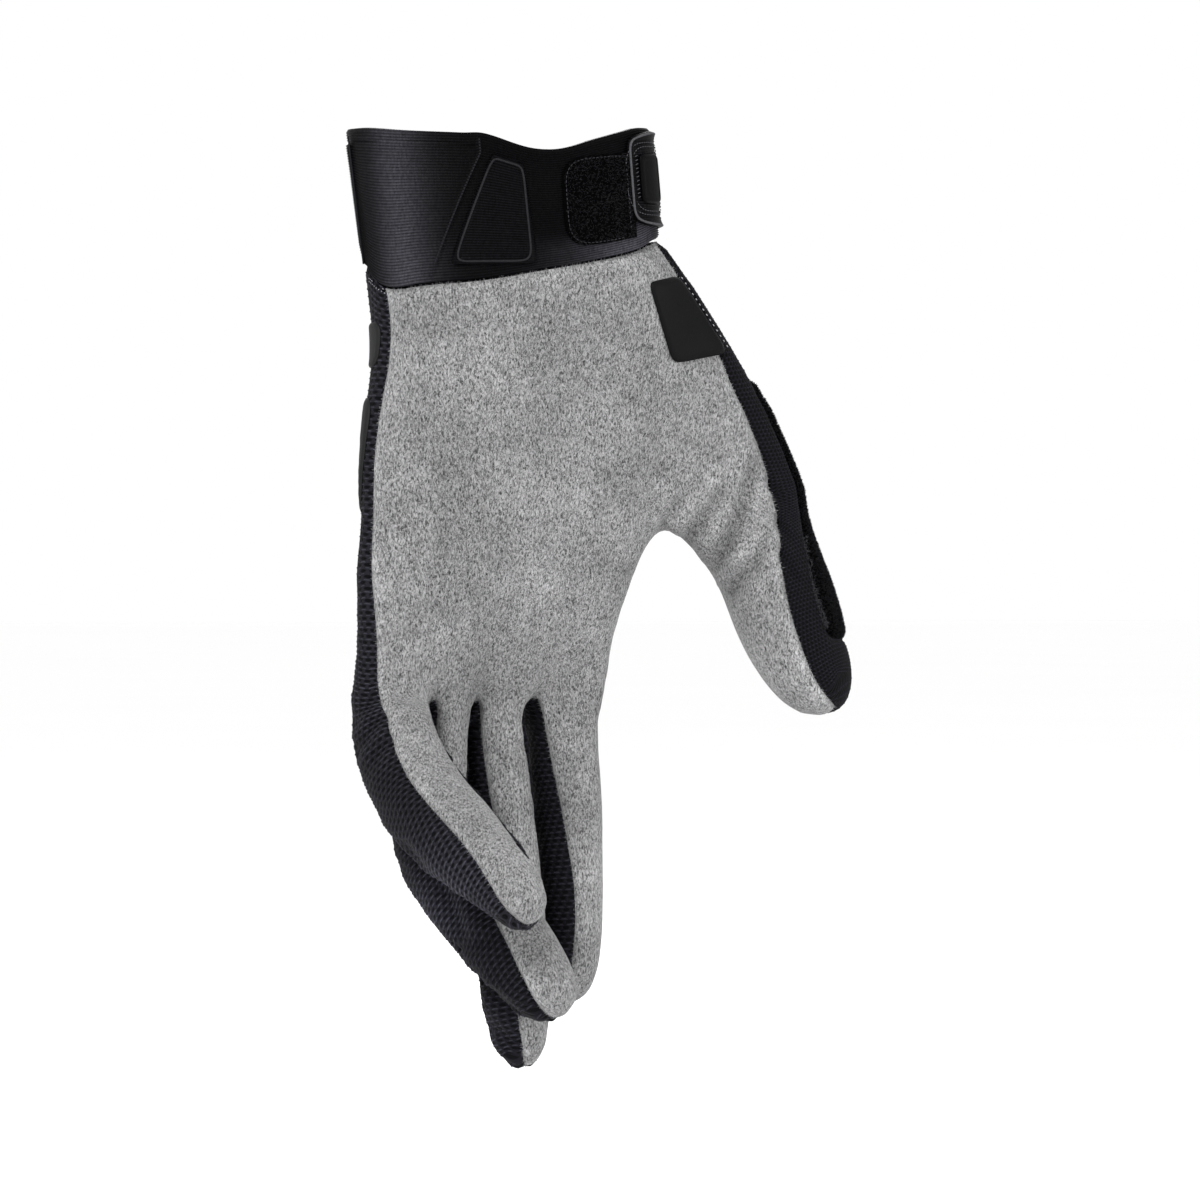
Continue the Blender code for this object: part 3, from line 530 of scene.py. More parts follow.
def refinedSkin():
    # smooth hand surface with its folds; each face keeps its panel number
    mesh = bpy.data.meshes.new("hand_net")
    bm = handCage()
    bm.to_mesh(mesh)
    bm.free()
    for edge in mesh.edges:
        edge.vertices = sorted(edge.vertices)
    for _ in range(7):
        mesh.materials.append(None)
    net = bpy.data.objects.new("hand_net", mesh)
    scene.collection.objects.link(net)
    smooth = net.modifiers.new("smooth", "SUBSURF")
    smooth.levels = smooth.render_levels = hand["refine"]
    bpy.context.view_layer.update()
    evaluated = net.evaluated_get(bpy.context.evaluated_depsgraph_get())
    fine = bpy.data.meshes.new_from_object(evaluated)
    bpy.data.objects.remove(net, do_unlink=True)
    skin = bmesh.new()
    skin.from_mesh(fine)
    settleBorders(skin)
    skin.normal_update()
    for vert in skin.verts:
        x, y, z = vert.co
        ripple = sum(noise.noise(vert.co * scale) * height for scale, height in waves)
        if all(face.material_index in (back, gusset1, gusset2, gusset3) for face in vert.link_faces):
            wrinkle = noise.noise(Vector((x * 70 + z * 40, y * 70, z * 190 - x * 90)))
            growth = easeStep(*wrinkles["growing"], -z)
            ripple += (abs(wrinkle) - wrinkles["level"]) * wrinkles["depth"] * growth
        vert.co += vert.normal * (ripple - foldDepth(vert.co, vert.normal))
    skin.normal_update()
    return skin


# Panels: each is cut from the skin, turned in along its seams and given its wall

seam = {"depth": 0.0009, "width": 0.0011, "toneWidth": 0.0016, "pucker": 0.00025, "puckerPitch": 0.0035,
        "puckerWidth": 0.005, "riseWidth": 0.0012}

# Round spots of painted light and painted shade on the suede and the knit, as the camera sees them: across,
# up, radius in millimetres, amount. The last value is how much painted shade a fold of a millimetre gets; the
# ridges beside a fold get painted light.
suedePaintedShading = ((-7, -139, 7, -0.06), (7, -139, 6, -0.05), (-16, -76, 14, -0.13), (-19, -112, 13, -0.07),
               (10, -120, 13, 0.08), (23, -190, 12, 0.18), (-24, -60, 8, 0.06), (38, -72, 14, -0.04),
               (-8, -175, 10, -0.20), (77, -136, 12, 0.45), (-17, -139, 6, -0.05),
               (14, -48, 13, -0.12), (12, -211, 8, 0.16))
knitPaintedShading = ((-16, -194, 11, 1.9), (-1, -227, 9, 0.9), (-26, -163, 12, -0.28))
foldPaintedShade = 0.24


# painted light and painted shade: the spots and the folds make the colour lighter or darker where the surface
# faces the camera
def paintedShadingAt(point, normal, spots):
    across, rise = point.dot(toRight) * 1000, point.z * 1000
    facing = easeStep(-0.15, 0.25, normal.dot(toCamera))
    total = 1
    for x, y, radius, amount in spots:
        total += facing * amount * bell(math.hypot(across - x, rise - y), radius)
    return total - foldPaintedShade * 1000 * foldDepth(point, normal)


def cutPanel(number, rise=0.0):
    bm = skin.copy()
    # painted light and painted shade for the colour, one value at each point
    paintedShading = bm.verts.layers.float.new("paintedShading")
    for vert in bm.verts:
        vert[paintedShading] = paintedShadingAt(vert.co, vert.normal, suedePaintedShading if number == palm else knitPaintedShading)
    nearness = bm.verts.layers.float.new("seam")
    bmesh.ops.delete(bm, geom=[f for f in bm.faces if f.material_index != number], context="FACES")
    border = [e for e in bm.edges if e.is_boundary]
    spots = []
    for edge in border:
        a, b = (vert.co for vert in edge.verts)
        spots += [a, (a + b) / 2]
    tree = kdtree.KDTree(len(spots))
    for k, spot in enumerate(spots):
        tree.insert(spot, k)
    tree.balance()
    for vert in bm.verts:
        distance = tree.find(vert.co)[2]
        # nearness to the border, which makes the suede's colour lighter: frayed edges and a painted sheen
        vert[nearness] = bell(distance, seam["toneWidth"])
        dip = seam["depth"] * bell(distance, seam["width"])
        wave = noise.noise(vert.co / seam["puckerPitch"]) * seam["pucker"]
        wave *= bell(distance, seam["puckerWidth"])
        lift = rise * easeStep(0, seam["riseWidth"], distance)
        vert.co += vert.normal * (lift + wave - dip)
    for face in bm.faces:
        face.material_index = 0
    bm.normal_update()
    return bm


def panelPiece(bm, name, material, slot, node):
    piece = finish(bm, name, material, slot, node)
    wall = piece.modifiers.new("wall", "SOLIDIFY")
    wall.thickness = hand["wall"]
    wall.offset = -1


# Small repeated shapes, each made once and then set in many places

def shapeFrom(bm):
    bm.verts.index_update()
    shape = ([v.co.copy() for v in bm.verts], [[v.index for v in face.verts] for face in bm.faces])
    bm.free()
    return shape


def makeGrain(sag):
    # a rice-shaped bead along z, bent towards +x
    bm = bmesh.new()
    bmesh.ops.create_uvsphere(bm, u_segments=4, v_segments=3, radius=1)
    for vert in bm.verts:
        vert.co.x += sag * vert.co.z**2
    return shapeFrom(bm)


def makeSpike():
    # a pointed bristle that stands on z
    bm = bmesh.new()
    bmesh.ops.create_cone(bm, cap_ends=True, segments=3, radius1=1, radius2=0.45, depth=1)
    top = [face for face in bm.faces if all(vert.co.z > 0 for vert in face.verts)]
    tip = bmesh.ops.poke(bm, faces=top)["verts"][0]
    for vert in bm.verts:
        vert.co.z = 0.6 if vert.co.z > 0 else 0
    tip.co.z = 0.95
    return shapeFrom(bm)


grain = makeGrain(0)
scallop = makeGrain(0.9)
spike = makeSpike()


def scatter(name, shape, places, material, slot, paintedTones=None):
    # sets the shape at each place, which is an origin with scaled x, y and z axes
    corners, polygons = shape
    points, faces = [], []
    for origin, x, y, z in places:
        base = len(points)
        points += [origin + x * c.x + y * c.y + z * c.z for c in corners]
        faces += [[base + k for k in polygon] for polygon in polygons]
    mesh = bpy.data.meshes.new(name)
    mesh.from_pydata(points, [], faces)
    # painted light and painted shade, one value for each copy
    if paintedTones:
        paintedShading = mesh.attributes.new("paintedShading", "FLOAT", "POINT")
        paintedShading.data.foreach_set("value", [tone for tone in paintedTones for _ in corners])
    addPiece(name, mesh, material, slot)


def bristle(draw, root, normal, look, toward=None):
    # the place of a bristle that leans by chance, or towards a given side
    aside = Vector([draw.uniform(-1, 1) for _ in range(3)])
    if toward:
        aside = aside * 0.5 + toward
    stand = (normal + (aside - normal * aside.dot(normal)) * look["lean"]).normalized()
    across = stand.orthogonal().normalized()
    tall = stand * look["length"] * draw.uniform(0.55, 1)
    return root, across * look["width"], stand.cross(across) * look["width"], tall


def spotsOver(bm, perArea, seed):
    # places by chance, as many as the area asks for
    draw = random.Random(seed)
    spots = []
    for face in bm.faces:
        corners = [vert.co for vert in face.verts]
        wanted = face.calc_area() * perArea
        for _ in range(int(wanted + draw.random())):
            s, t = draw.random(), draw.random()
            a, b = corners[0].lerp(corners[1], s), corners[-1].lerp(corners[-2], s)
            spots.append((a.lerp(b, t), face.normal.copy()))
    return draw, spots


def patternSpots(bm, cell, row):
    # the knots of the knit: rows across the finger, each shifted by half a cell
    layer = bm.loops.layers.uv["pattern"]
    spots = []
    for face in bm.faces:
        loops = face.loops[:]
        for second, third in zip(loops[1:], loops[2:]):
            a, b, c = loops[0].vert, second.vert, third.vert
            start, u, v = loops[0][layer].uv, second[layer].uv, third[layer].uv
            area = (u - start).cross(v - start)
            if abs(area) < 1e-12:
                continue
            across = ((b.co - a.co) * (v - start).y - (c.co - a.co) * (u - start).y) / area
            across.normalize()
            lows, highs = (Vector((f(start.x, u.x, v.x), f(start.y, u.y, v.y))) for f in (min, max))
            for j in range(math.ceil(lows.y / row), math.floor(highs.y / row) + 1):
                shift = j % 2 / 2
                for k in range(math.ceil(lows.x / cell - shift), math.floor(highs.x / cell - shift) + 1):
                    at = Vector(((k + shift) * cell, j * row)) - start
                    s, t = at.cross(v - start) / area, (u - start).cross(at) / area
                    if s >= 0 and t >= 0 and s + t < 1:
                        normal = (a.normal * (1 - s - t) + b.normal * s + c.normal * t).normalized()
                        spots.append((a.co + (b.co - a.co) * s + (c.co - a.co) * t, across, normal))
    return spots


def knitKnots(bm, name, look, knotLook):
    draw = random.Random(3)
    places = []
    for point, across, normal in patternSpots(bm, look["cell"], look["row"]):
        along = normal.cross(across).normalized()
        if along.z > 0:
            across, along = -across, -along
        grow = draw.uniform(0.7, 1.15)
        places.append((point + normal * look["knotSink"], along * look["knotWidth"] * grow,
                       normal * look["knotRise"], along.cross(normal) * look["knotLength"] * grow))
    # painted light and painted shade on the knots
    paintedTones = [paintedShadingAt(place[0], place[2].normalized(), knitPaintedShading) for place in places]
    scatter(name, scallop, places, knotLook, "mesh_knit", paintedTones)


# Materials

class Nodes:
    # a short way to write a node tree
    def __init__(self, name, color, roughness):
        self.material = bpy.data.materials.new(name)
        self.material.use_nodes = True
        self.tree = self.material.node_tree
        self.shader = self.tree.nodes["Principled BSDF"]
        self.shader.inputs["Base Color"].default_value = (*color, 1)
        self.shader.inputs["Roughness"].default_value = roughness
        self.place = self.add("TexCoord").outputs["Object"]

    def put(self, socket, value):
        if isinstance(value, bpy.types.NodeSocket):
            self.tree.links.new(value, socket)
        else:
            socket.default_value = value

    def add(self, kind, **values):
        # a new node with its inputs, each a value or another node's output
        node = self.tree.nodes.new("ShaderNode" + kind)
        for name, value in values.items():
            self.put(node.inputs[name], value)
        return node

    def constant(self, **values):
        for name, value in values.items():
            self.shader.inputs[name.replace("_", " ")].default_value = value

    def math(self, operation, first, second=0.0, third=0.0):
        node = self.add("Math")
        node.operation = operation
        for socket, value in zip(node.inputs, (first, second, third)):
            self.put(socket, value)
        return node.outputs[0]

    def noise(self, scale, detail, roughness=0.5, stretch=None, turn=(0, 0, 0), distortion=0.0):
        place = self.place
        if stretch:
            place = self.add("Mapping", Vector=place, Scale=stretch, Rotation=turn).outputs[0]
        node = self.add("TexNoise", Vector=place, Scale=scale, Detail=detail, Roughness=roughness,
                        Distortion=distortion)
        return node.outputs["Fac"]

    def spread(self, value, low, high, toLow, toHigh):
        node = self.add("MapRange")
        for socket, number in zip(node.inputs, (value, low, high, toLow, toHigh)):
            self.put(socket, number)
        return node.outputs[0]

    def attribute(self, name):
        node = self.add("Attribute")
        node.attribute_name = name
        return node.outputs["Fac"]

    def colour(self, color, factor):
        # the base colour: a colour times a factor
        node = self.add("VectorMath")
        node.operation = "SCALE"
        self.put(node.inputs[0], color)
        self.put(node.inputs["Scale"], factor)
        self.put(self.shader.inputs["Base Color"], node.outputs[0])

    def mix(self, share, first, second, factor):
        # the base colour: two colours mixed, times a factor
        node = self.add("Mix")
        node.data_type = "RGBA"
        self.put(node.inputs["Factor"], share)
        node.inputs["A"].default_value = (*first, 1)
        node.inputs["B"].default_value = (*second, 1)
        self.colour(node.outputs["Result"], factor)

    def bump(self, height, distance, strength):
        node = self.add("Bump", Height=height, Distance=distance, Strength=strength)
        self.put(self.shader.inputs["Normal"], node.outputs[0])

    def patternUv(self):
        node = self.add("UVMap")
        node.uv_map = "pattern"
        return self.add("SeparateXYZ", Vector=node.outputs[0]).outputs[:2]


suede = {"color": (0.152, 0.152, 0.153), "mottle": 48, "patches": 190, "nap": 2300, "napContrast": 0.82}
knit = {
    "color": (0.0090, 0.0088, 0.0115), "holeColor": (0.001, 0.001, 0.0015), "cell": 0.0026, "row": 0.0015,
    "holeWidth": 0.34, "holeHeight": 0.26,
    "knotLength": 0.00105, "knotWidth": 0.00023, "knotRise": 0.00020, "knotSink": 0.00002,
}
# the side strips take the back's knit in darker colours and the back's colours are lighter: painted shade
# between the fingers and painted light on the back
strip = {**knit, "color": (0.0046, 0.0045, 0.0062)}
net = {
    "color": (0.0042, 0.0041, 0.0058), "holeColor": (0.001, 0.001, 0.001), "cell": 0.0011, "row": 0.0011,
    "holeWidth": 0.30, "holeHeight": 0.33,
    "knotLength": 0.00042, "knotWidth": 0.00020, "knotRise": 0.00016, "knotSink": 0.00001,
}
# glow is how strongly the painted highlight and the paler foot brighten the cuff's colour
stretchRib = {"color": (0.0018, 0.00176, 0.0021), "glow": 17.5, "groovePaintedShade": 0.6,
              # the groove values darken the colour between the ribs, on the cuff and on the plates: painted
              # shade
              "plateColor": (0.0032, 0.0031, 0.0038), "plateGroovePaintedShade": 0.9}
pile = {"color": (0.0005, 0.0005, 0.0006)}


def suedeMaterial():
    n = Nodes("palm_suede", suede["color"], 0.95)
    broad = n.spread(n.noise(suede["mottle"], 3), 0.33, 0.67, 0.86, 1.12)
    cloudy = n.spread(n.noise(suede["patches"], 3, 0.6), 0.25, 0.75, 0.88, 1.10)
    strands = n.noise(suede["nap"], 3.5, 0.75, stretch=(1, 1, 0.5), turn=(0.3, 0.5, 0.2), distortion=0.8)
    half = suede["napContrast"]
    flecks = n.spread(strands, 0.38, 0.62, 1 - half, 1 + half * 0.85)
    # lighter along the panel's edges: partly frayed fibres, partly a painted sheen
    edge = n.spread(n.attribute("seam"), 0, 1, 1, 1.3)
    tone = n.math("MULTIPLY", n.math("MULTIPLY", broad, cloudy), n.math("MULTIPLY", flecks, edge))
    # the suede's colour times its painted light and painted shade from the spots and the folds
    n.colour(suede["color"], n.math("MULTIPLY", tone, n.attribute("paintedShading")))
    n.bump(strands, 0.00035, 0.7)
    n.constant(Sheen_Weight=0.15, Sheen_Roughness=0.45, Specular_IOR_Level=0.03)
    return n.material


def meshMaterial(name, look):
    # open knit: rows of small holes, each row shifted by half a cell
    n = Nodes(name, look["color"], 0.8)

    def squaredShare(value, size):
        # how far the place is from the middle of its cell, in hole sizes, squared
        off = n.math("SUBTRACT", n.math("FRACT", value), 0.5)
        return n.math("POWER", n.math("DIVIDE", off, size), 2.0)

    u, v = n.patternUv()
    wobble = n.spread(n.noise(220, 2), 0, 1, -0.12, 0.12)
    row = n.math("ADD", n.math("DIVIDE", v, look["row"]), wobble)
    shift = n.math("MULTIPLY", n.math("FLOOR", row), 0.5)
    column = n.math("ADD", n.math("DIVIDE", u, look["cell"]), shift)
    far = n.math("ADD", squaredShare(column, look["holeWidth"]), squaredShare(row, look["holeHeight"]))
    solid = n.spread(far, 0.7, 1.5, 0, 1)
    yarn = n.noise(3800, 2, 0.6)
    height = n.math("MULTIPLY_ADD", yarn, 0.25, solid)
    lit = n.math("MULTIPLY", solid, n.spread(yarn, 0.3, 0.7, 0.75, 1.25))
    # the knit's colour times its painted light and painted shade
    n.mix(lit, look["holeColor"], look["color"], n.attribute("paintedShading"))
    n.bump(height, 0.00028, 0.9)
    n.constant(Sheen_Weight=0.015, Sheen_Roughness=0.4, Specular_IOR_Level=0.05)
    return n.material


def ribMaterial(name, color, groovePaintedShade):
    n = Nodes(name, color, 0.4)
    threads = n.noise(2200, 2, 0.6, stretch=(1, 1, 0.3))
    # painted highlight: the colour is brightened by the cuff's stretch layer, which the plates don't have
    glow = n.math("MULTIPLY_ADD", n.attribute("stretch"), stretchRib["glow"], 1.0)
    # painted shade: the colour is darker in the grooves between the ribs
    rib = n.math("MULTIPLY_ADD", n.attribute("groove"), -groovePaintedShade, 1.0)
    tone = n.math("MULTIPLY", rib, n.spread(threads, 0.3, 0.7, 0.6, 1.5))
    n.colour(color, n.math("MULTIPLY", glow, tone))
    n.bump(threads, 0.00015, 0.7)
    n.constant(Specular_IOR_Level=0.02)
    return n.material


def rubberMaterial(name, color):
    n = Nodes(name, color, 0.5)
    n.colour(color, n.spread(n.noise(60, 2), 0.3, 0.7, 0.9, 1.15))
    n.bump(n.noise(1400, 3, 0.6), 0.00008, 0.5)
    n.constant(Specular_IOR_Level=0.035)
    return n.material


def pileMaterial(name, glow):
    n = Nodes(name, pile["color"], 1.0)
    n.colour(pile["color"], n.spread(n.noise(900, 3, 0.7), 0.3, 0.7, 0.5, glow))
    n.bump(n.noise(1600, 3, 0.7), 0.0006, 1.0)
    n.constant(Specular_IOR_Level=0.02)
    return n.material


def threadMaterial(name, color, shaded=False):
    n = Nodes(name, color, 0.7)
    tone = n.spread(n.noise(2500, 2), 0.3, 0.7, 0.75, 1.2)
    # the knots' colour times their painted light and painted shade
    if shaded:
        tone = n.math("MULTIPLY", tone, n.attribute("paintedShading"))
    n.colour(color, tone)
    n.constant(Specular_IOR_Level=0.04)
    return n.material


suedeLook = suedeMaterial()
knitLook = meshMaterial("back_knit", knit)
stripLook = meshMaterial("strip_knit", strip)
netLook = meshMaterial("thumb_net", net)
cuffLook = ribMaterial("ribbed_stretch", stretchRib["color"], stretchRib["groovePaintedShade"])
plateLook = ribMaterial("ribbed_plates", stretchRib["plateColor"], stretchRib["plateGroovePaintedShade"])
labelLook = rubberMaterial("label_rubber", (0.0036, 0.0036, 0.0039))
badgeLook = rubberMaterial("badge_rubber", (0.0011, 0.0011, 0.0012))
guardLook = rubberMaterial("guard_rubber", (0.0120, 0.0122, 0.0122))
terryLook = pileMaterial("terry_pile", 1.7)
loopLook = pileMaterial("loop_pile", 1.6)
# the back's knots are a lighter copy and the strips' knots a darker copy of one thread: painted light and
# painted shade
backKnots = threadMaterial("back_knots", (0.0270, 0.0262, 0.0345), shaded=True)
stripKnots = threadMaterial("strip_knots", (0.0160, 0.0156, 0.0210), shaded=True)
netKnots = threadMaterial("net_knots", (0.0105, 0.0102, 0.0142), shaded=True)
terryTuftLook = threadMaterial("terry_tufts", (0.0075, 0.0075, 0.0085))
# a lighter thread colour for the cord along the pull panel's welt: a painted highlight
weltHighlightLook = threadMaterial("piping", (0.012, 0.012, 0.0135))
strapPiping = threadMaterial("strap_piping", (0.050, 0.050, 0.054))
darkThread = threadMaterial("dark_thread", (0.030, 0.030, 0.034))
seamThread = threadMaterial("seam_thread", (0.055, 0.055, 0.060))
paleThread = threadMaterial("pale_thread", (0.24, 0.24, 0.25))
# lighter than the cuff's cloth: a painted highlight along the folded edges
foldHighlightLook = threadMaterial("folded_edge_highlight", (0.0095, 0.0095, 0.0115))
loopPileLook = threadMaterial("loop_fibres", (0.015, 0.015, 0.0165))
lintLook = threadMaterial("terry_lint", (0.055, 0.055, 0.060))
napLook = threadMaterial("suede_fibres", (0.24, 0.24, 0.243))
print("materials ready")


# The hand's panels
skin = refinedSkin()
skinTree = BVHTree.FromBMesh(skin)
print("hand skin ready")
for number, name, node, look, material, knotLook in (
    (back, "back_knit", "back_panel", knit, knitLook, backKnots),
    (gusset1, "side_strip_little_ring", "gusset_little_ring", strip, stripLook, stripKnots),
    (gusset2, "side_strip_ring_middle", "gusset_ring_middle", strip, stripLook, stripKnots),
    (gusset3, "side_strip_middle_index", "gusset_middle_index", strip, stripLook, stripKnots),
    (thumbBack, "thumb_back_net", "thumb_back_panel", net, netLook, netKnots),
):
    panelMesh = cutPanel(number)
    knitKnots(panelMesh, name + "_knots", look, knotLook)
    panelPiece(panelMesh, name, material, "mesh_knit", node)
print("knit panels ready")

fuzz = {"perLength": 3200, "length": 0.0011, "width": 0.00006, "inset": 0.0003, "lean": 1.6}


def borderFibres(bm, name):
    # fibres of the cut edge, which lie across the seam
    draw = random.Random(21)
    places = []
    for edge in bm.edges:
        if not edge.is_boundary:
            continue
        a, b = (vert.co for vert in edge.verts)
        face = edge.link_faces[0]
        outward = (b - a).cross(face.normal).normalized()
        if outward.dot(face.calc_center_median() - a) > 0:
            outward = -outward
        for _ in range(int((b - a).length * fuzz["perLength"] + draw.random())):
            root = a.lerp(b, draw.random()) - outward * fuzz["inset"] * draw.uniform(0, 3)
            places.append(bristle(draw, root, face.normal, fuzz, outward))
    scatter(name, spike, places, napLook, "palm_suede")


palmMesh = cutPanel(palm)
borderFibres(palmMesh, "suede_edge_fibres")
panelPiece(palmMesh, "palm_suede", suedeLook, "palm_suede", "palm_panel")
print("suede ready")

tuft = {"rise": 0.0005, "perArea": 7.0e6, "length": 0.0009, "width": 0.00015, "lean": 0.9}
terryMesh = cutPanel(terry, tuft["rise"])
draw, spots = spotsOver(terryMesh, tuft["perArea"], 5)
tufts = [bristle(draw, point, normal, tuft) for point, normal in spots]
scatter("thumb_terry_tufts", spike, tufts, terryTuftLook, "terry")
panelPiece(terryMesh, "thumb_terry", terryLook, "terry", "thumb_wipe")
print("terry ready")


# Cuff: a ribbed tube with its hem, the edge of its overlap and its side seam

def grooveOf(turn):
    # how deep in the groove between two ribs, from 0 on a rib to 1
    return (1 - math.cos(turn)) / 2


def cuffRelief(angle, share):
    length = (cuffPoint(angle, 0) - cuffPoint(angle, 1)).length
    drop = -cuffPoint(angle, share).z
    fromTop, fromFoot = share * length, (1 - share) * length
    rib = math.cos(2 * math.pi * share * cuff["ribs"]) * cuff["ribRise"]
    rib *= easeStep(0, cuff["ribTopFade"], fromTop) * easeStep(0, cuff["ribFootFade"], fromFoot)
    belowHem = drop - alongLine(cuff["hemLeft"], cuff["hemRight"], angle)
    inHem = easeStep(cuff["hemFrom"] - 3, cuff["hemFrom"] + 3, angle)
    inHem *= 1 - easeStep(cuff["hemTo"] - 2, cuff["hemTo"], angle)
    hem = -cuff["hemDepth"] * bell(belowHem, cuff["hemWidth"]) * inHem
    onSleeve = inHem * (1 - easeStep(cuff["sleeveTo"] - 8, cuff["sleeveTo"], angle))
    sleeve = cuff["sleeveRise"] * easeStep(0, 0.0004, belowHem) * onSleeve * easeStep(0, 0.006, fromFoot)
    beside = alongLine(cuff["lapTop"], cuff["lapFoot"], drop) - angle
    lap = cuff["lapRise"] * easeStep(-0.5, 0.5, beside) * (1 - easeStep(2, cuff["lapFade"], beside))
    lap += cuff["lapWelt"] * bell(beside - cuff["lapWeltAt"], cuff["lapWeltWidth"])
    side = cuff["sideSeamRise"] * bell(angle - cuff["sideSeam"], cuff["sideSeamWidth"])
    side *= easeStep(0, 0.002, belowHem)
    (topCut, topWidth), (footCut, footWidth) = cuff["topRounding"], cuff["footRounding"]
    rounding = -topCut * bell(fromTop, topWidth) - footCut * bell(fromFoot, footWidth)
    return rib + hem + sleeve + lap + side + rounding


def cuffHighlightAndPaleFoot(angle, share):
    # a painted highlight in a band beside the overlap, and a paler patch at the foot under the loop patch
    (middle, width), (footMiddle, footWidth) = cuff["paintedHighlightAt"], cuff["paleFootAt"]
    foot = cuff["paleFoot"] * bell(angle - footMiddle, footWidth) * easeStep(0.70, 0.9, share)
    return bell(angle - middle, width) * (0.8 + 0.35 * share) + foot


def makeCuff():
    bm = bmesh.new()
    bm.loops.layers.uv.new("pattern")
    # this layer holds a painted highlight beside the overlap and a paler foot
    stretch = bm.verts.layers.float.new("stretch")
    groove = bm.verts.layers.float.new("groove")
    angles = [0]
    while angles[-1] < 360 - cuff["step"]:
        fine = cuff["fineFrom"] <= angles[-1] < cuff["fineTo"]
        angles.append(angles[-1] + (cuff["fineStep"] if fine else cuff["step"]))
    count = len(angles)
    ring = bmesh.ops.create_circle(bm, segments=count, radius=1)["verts"]
    foot = 1 - cuff["footGap"] / cuff["height"]

    def outer(share):
        return [cuffPoint(a, share) + cuffNormal(a, share) * cuffRelief(a, share) for a in angles]

    def inner(share):
        return [cuffPoint(a, share) - cuffNormal(a, share) * cuff["wall"] for a in angles]

    rows = cuff["ribs"] * cuff["rowsPerRib"]
    for vert, point in zip(ring, outer(0)):
        vert.co = point
    firstRing = ring
    panels = [0] * count
    for k in range(1, rows + 1):
        ring = growBand(bm, ring, outer(foot * k / rows), panels, (0, 0))
        for vert, angle in zip(ring, angles):
            vert[stretch] = cuffHighlightAndPaleFoot(angle, k / rows)
            vert[groove] = grooveOf(2 * math.pi * foot * k / rows * cuff["ribs"])
    for vert, angle in zip(firstRing, angles):
        vert[stretch] = cuffHighlightAndPaleFoot(angle, 0)
    for k in range(cuff["linerRows"] + 1):
        ring = growBand(bm, ring, inner(foot * (1 - k / cuff["linerRows"])), panels, (0, 0))
    edges = []
    for loop in (ring, firstRing):
        edges += [bm.edges.get((a, b)) for a, b in zip(loop, (*loop[1:], loop[0]))]
    bmesh.ops.bridge_loops(bm, edges=edges)
    finish(bm, "cuff_ribbed", cuffLook, "ribbed_stretch", "cuff")


makeCuff()
print("cuff ready")


# Plates that lie on the cuff or on the hand

def roundedReach(x, y, corner):
    # how far (x, y) lies out, where 1 is the rounded outline
    return (abs(x) ** corner + abs(y) ** corner) ** (1 / corner)


def ribTurn(look, y):
    return math.pi * y * look["height"] / look["ribPitch"]


def plate(name, node, look, pointAt, heightAt, material, slot):
    # a grid drawn into a rounded outline, laid on the surface and given its wall
    bm = bmesh.new()
    groove = bm.verts.layers.float.new("groove")
    columns, rows = look["cells"]
    bmesh.ops.create_grid(bm, x_segments=columns, y_segments=rows, size=1)
    tops = {}
    for vert in bm.verts:
        x, y = vert.co.x, vert.co.y
        reach = max(abs(x), abs(y))
        if reach > 0 and not (look.get("squareRight") and x > 0):
            rounding = reach / roundedReach(x, y, look["corner"])
            x, y = x * rounding, y * rounding
        point, normal = pointAt((x + 1) / 2, (1 - y) / 2)
        vert.co = point + normal * look["lift"]
        tops[vert] = normal * heightAt(x, y, reach)
        if "ribPitch" in look:
            vert[groove] = grooveOf(ribTurn(look, y))
    made = bmesh.ops.extrude_face_region(bm, geom=bm.faces[:], use_keep_orig=True)["geom"]
    raised = {tuple(v.co): v for v in made if isinstance(v, bmesh.types.BMVert)}
    moves = [(raised[tuple(low.co)], height) for low, height in tops.items()]
    for vert, height in moves:
        vert.co += height
    finish(bm, name, material, slot, node)


def cuffShare(angle, drop):
    top, foot = cuffPoint(angle, 0).z, cuffPoint(angle, 1).z
    return (top + drop) / (top - foot)


def makeCord(name, path, radius, look, slot, sides=8):
    # a thin roll along a path of (point, normal)
    bm = bmesh.new()
    bm.loops.layers.uv.new("pattern")
    ring = bmesh.ops.create_circle(bm, segments=sides, radius=1)["verts"]
    spots = [point for point, _ in path]
    rings = []
    for k, (point, normal) in enumerate(path):
        along = (spots[min(k + 1, len(spots) - 1)] - spots[max(k - 1, 0)]).normalized()
        side = along.cross(normal).normalized()
        turns = [2 * math.pi * j / sides for j in range(sides)]
        rings.append([point + (side * math.cos(turn) + normal * math.sin(turn)) * radius for turn in turns])
    for vert, point in zip(ring, rings[0]):
        vert.co = point
    ends = [ring]
    for row in rings[1:]:
        ring = growBand(bm, ring, row, [0] * sides, (0, 0))
    ends.append(ring)
    for end in ends:
        bm.faces.new(end)
    finish(bm, name, look, slot)


def dotted(path, pitch, length, width):
    # the places of stitches at an even pitch along a path of (point, normal)
    places = []
    ahead = 0.0
    for (a, normal), (b, _) in zip(path, path[1:]):
        run = (b - a).length
        along = (b - a).normalized()
        while ahead < run:
            across = normal.cross(along).normalized()
            places.append((a + along * ahead, across * width, normal * width, along * length / 2))
            ahead += pitch
        ahead -= run
    return places


def lifted(pointAt, shares, height):
    # a path of (point, normal) at a height over the surface
    path = []
    for across, down in shares:
        point, normal = pointAt(across, down)
        path.append((point + normal * height, normal))
    return path


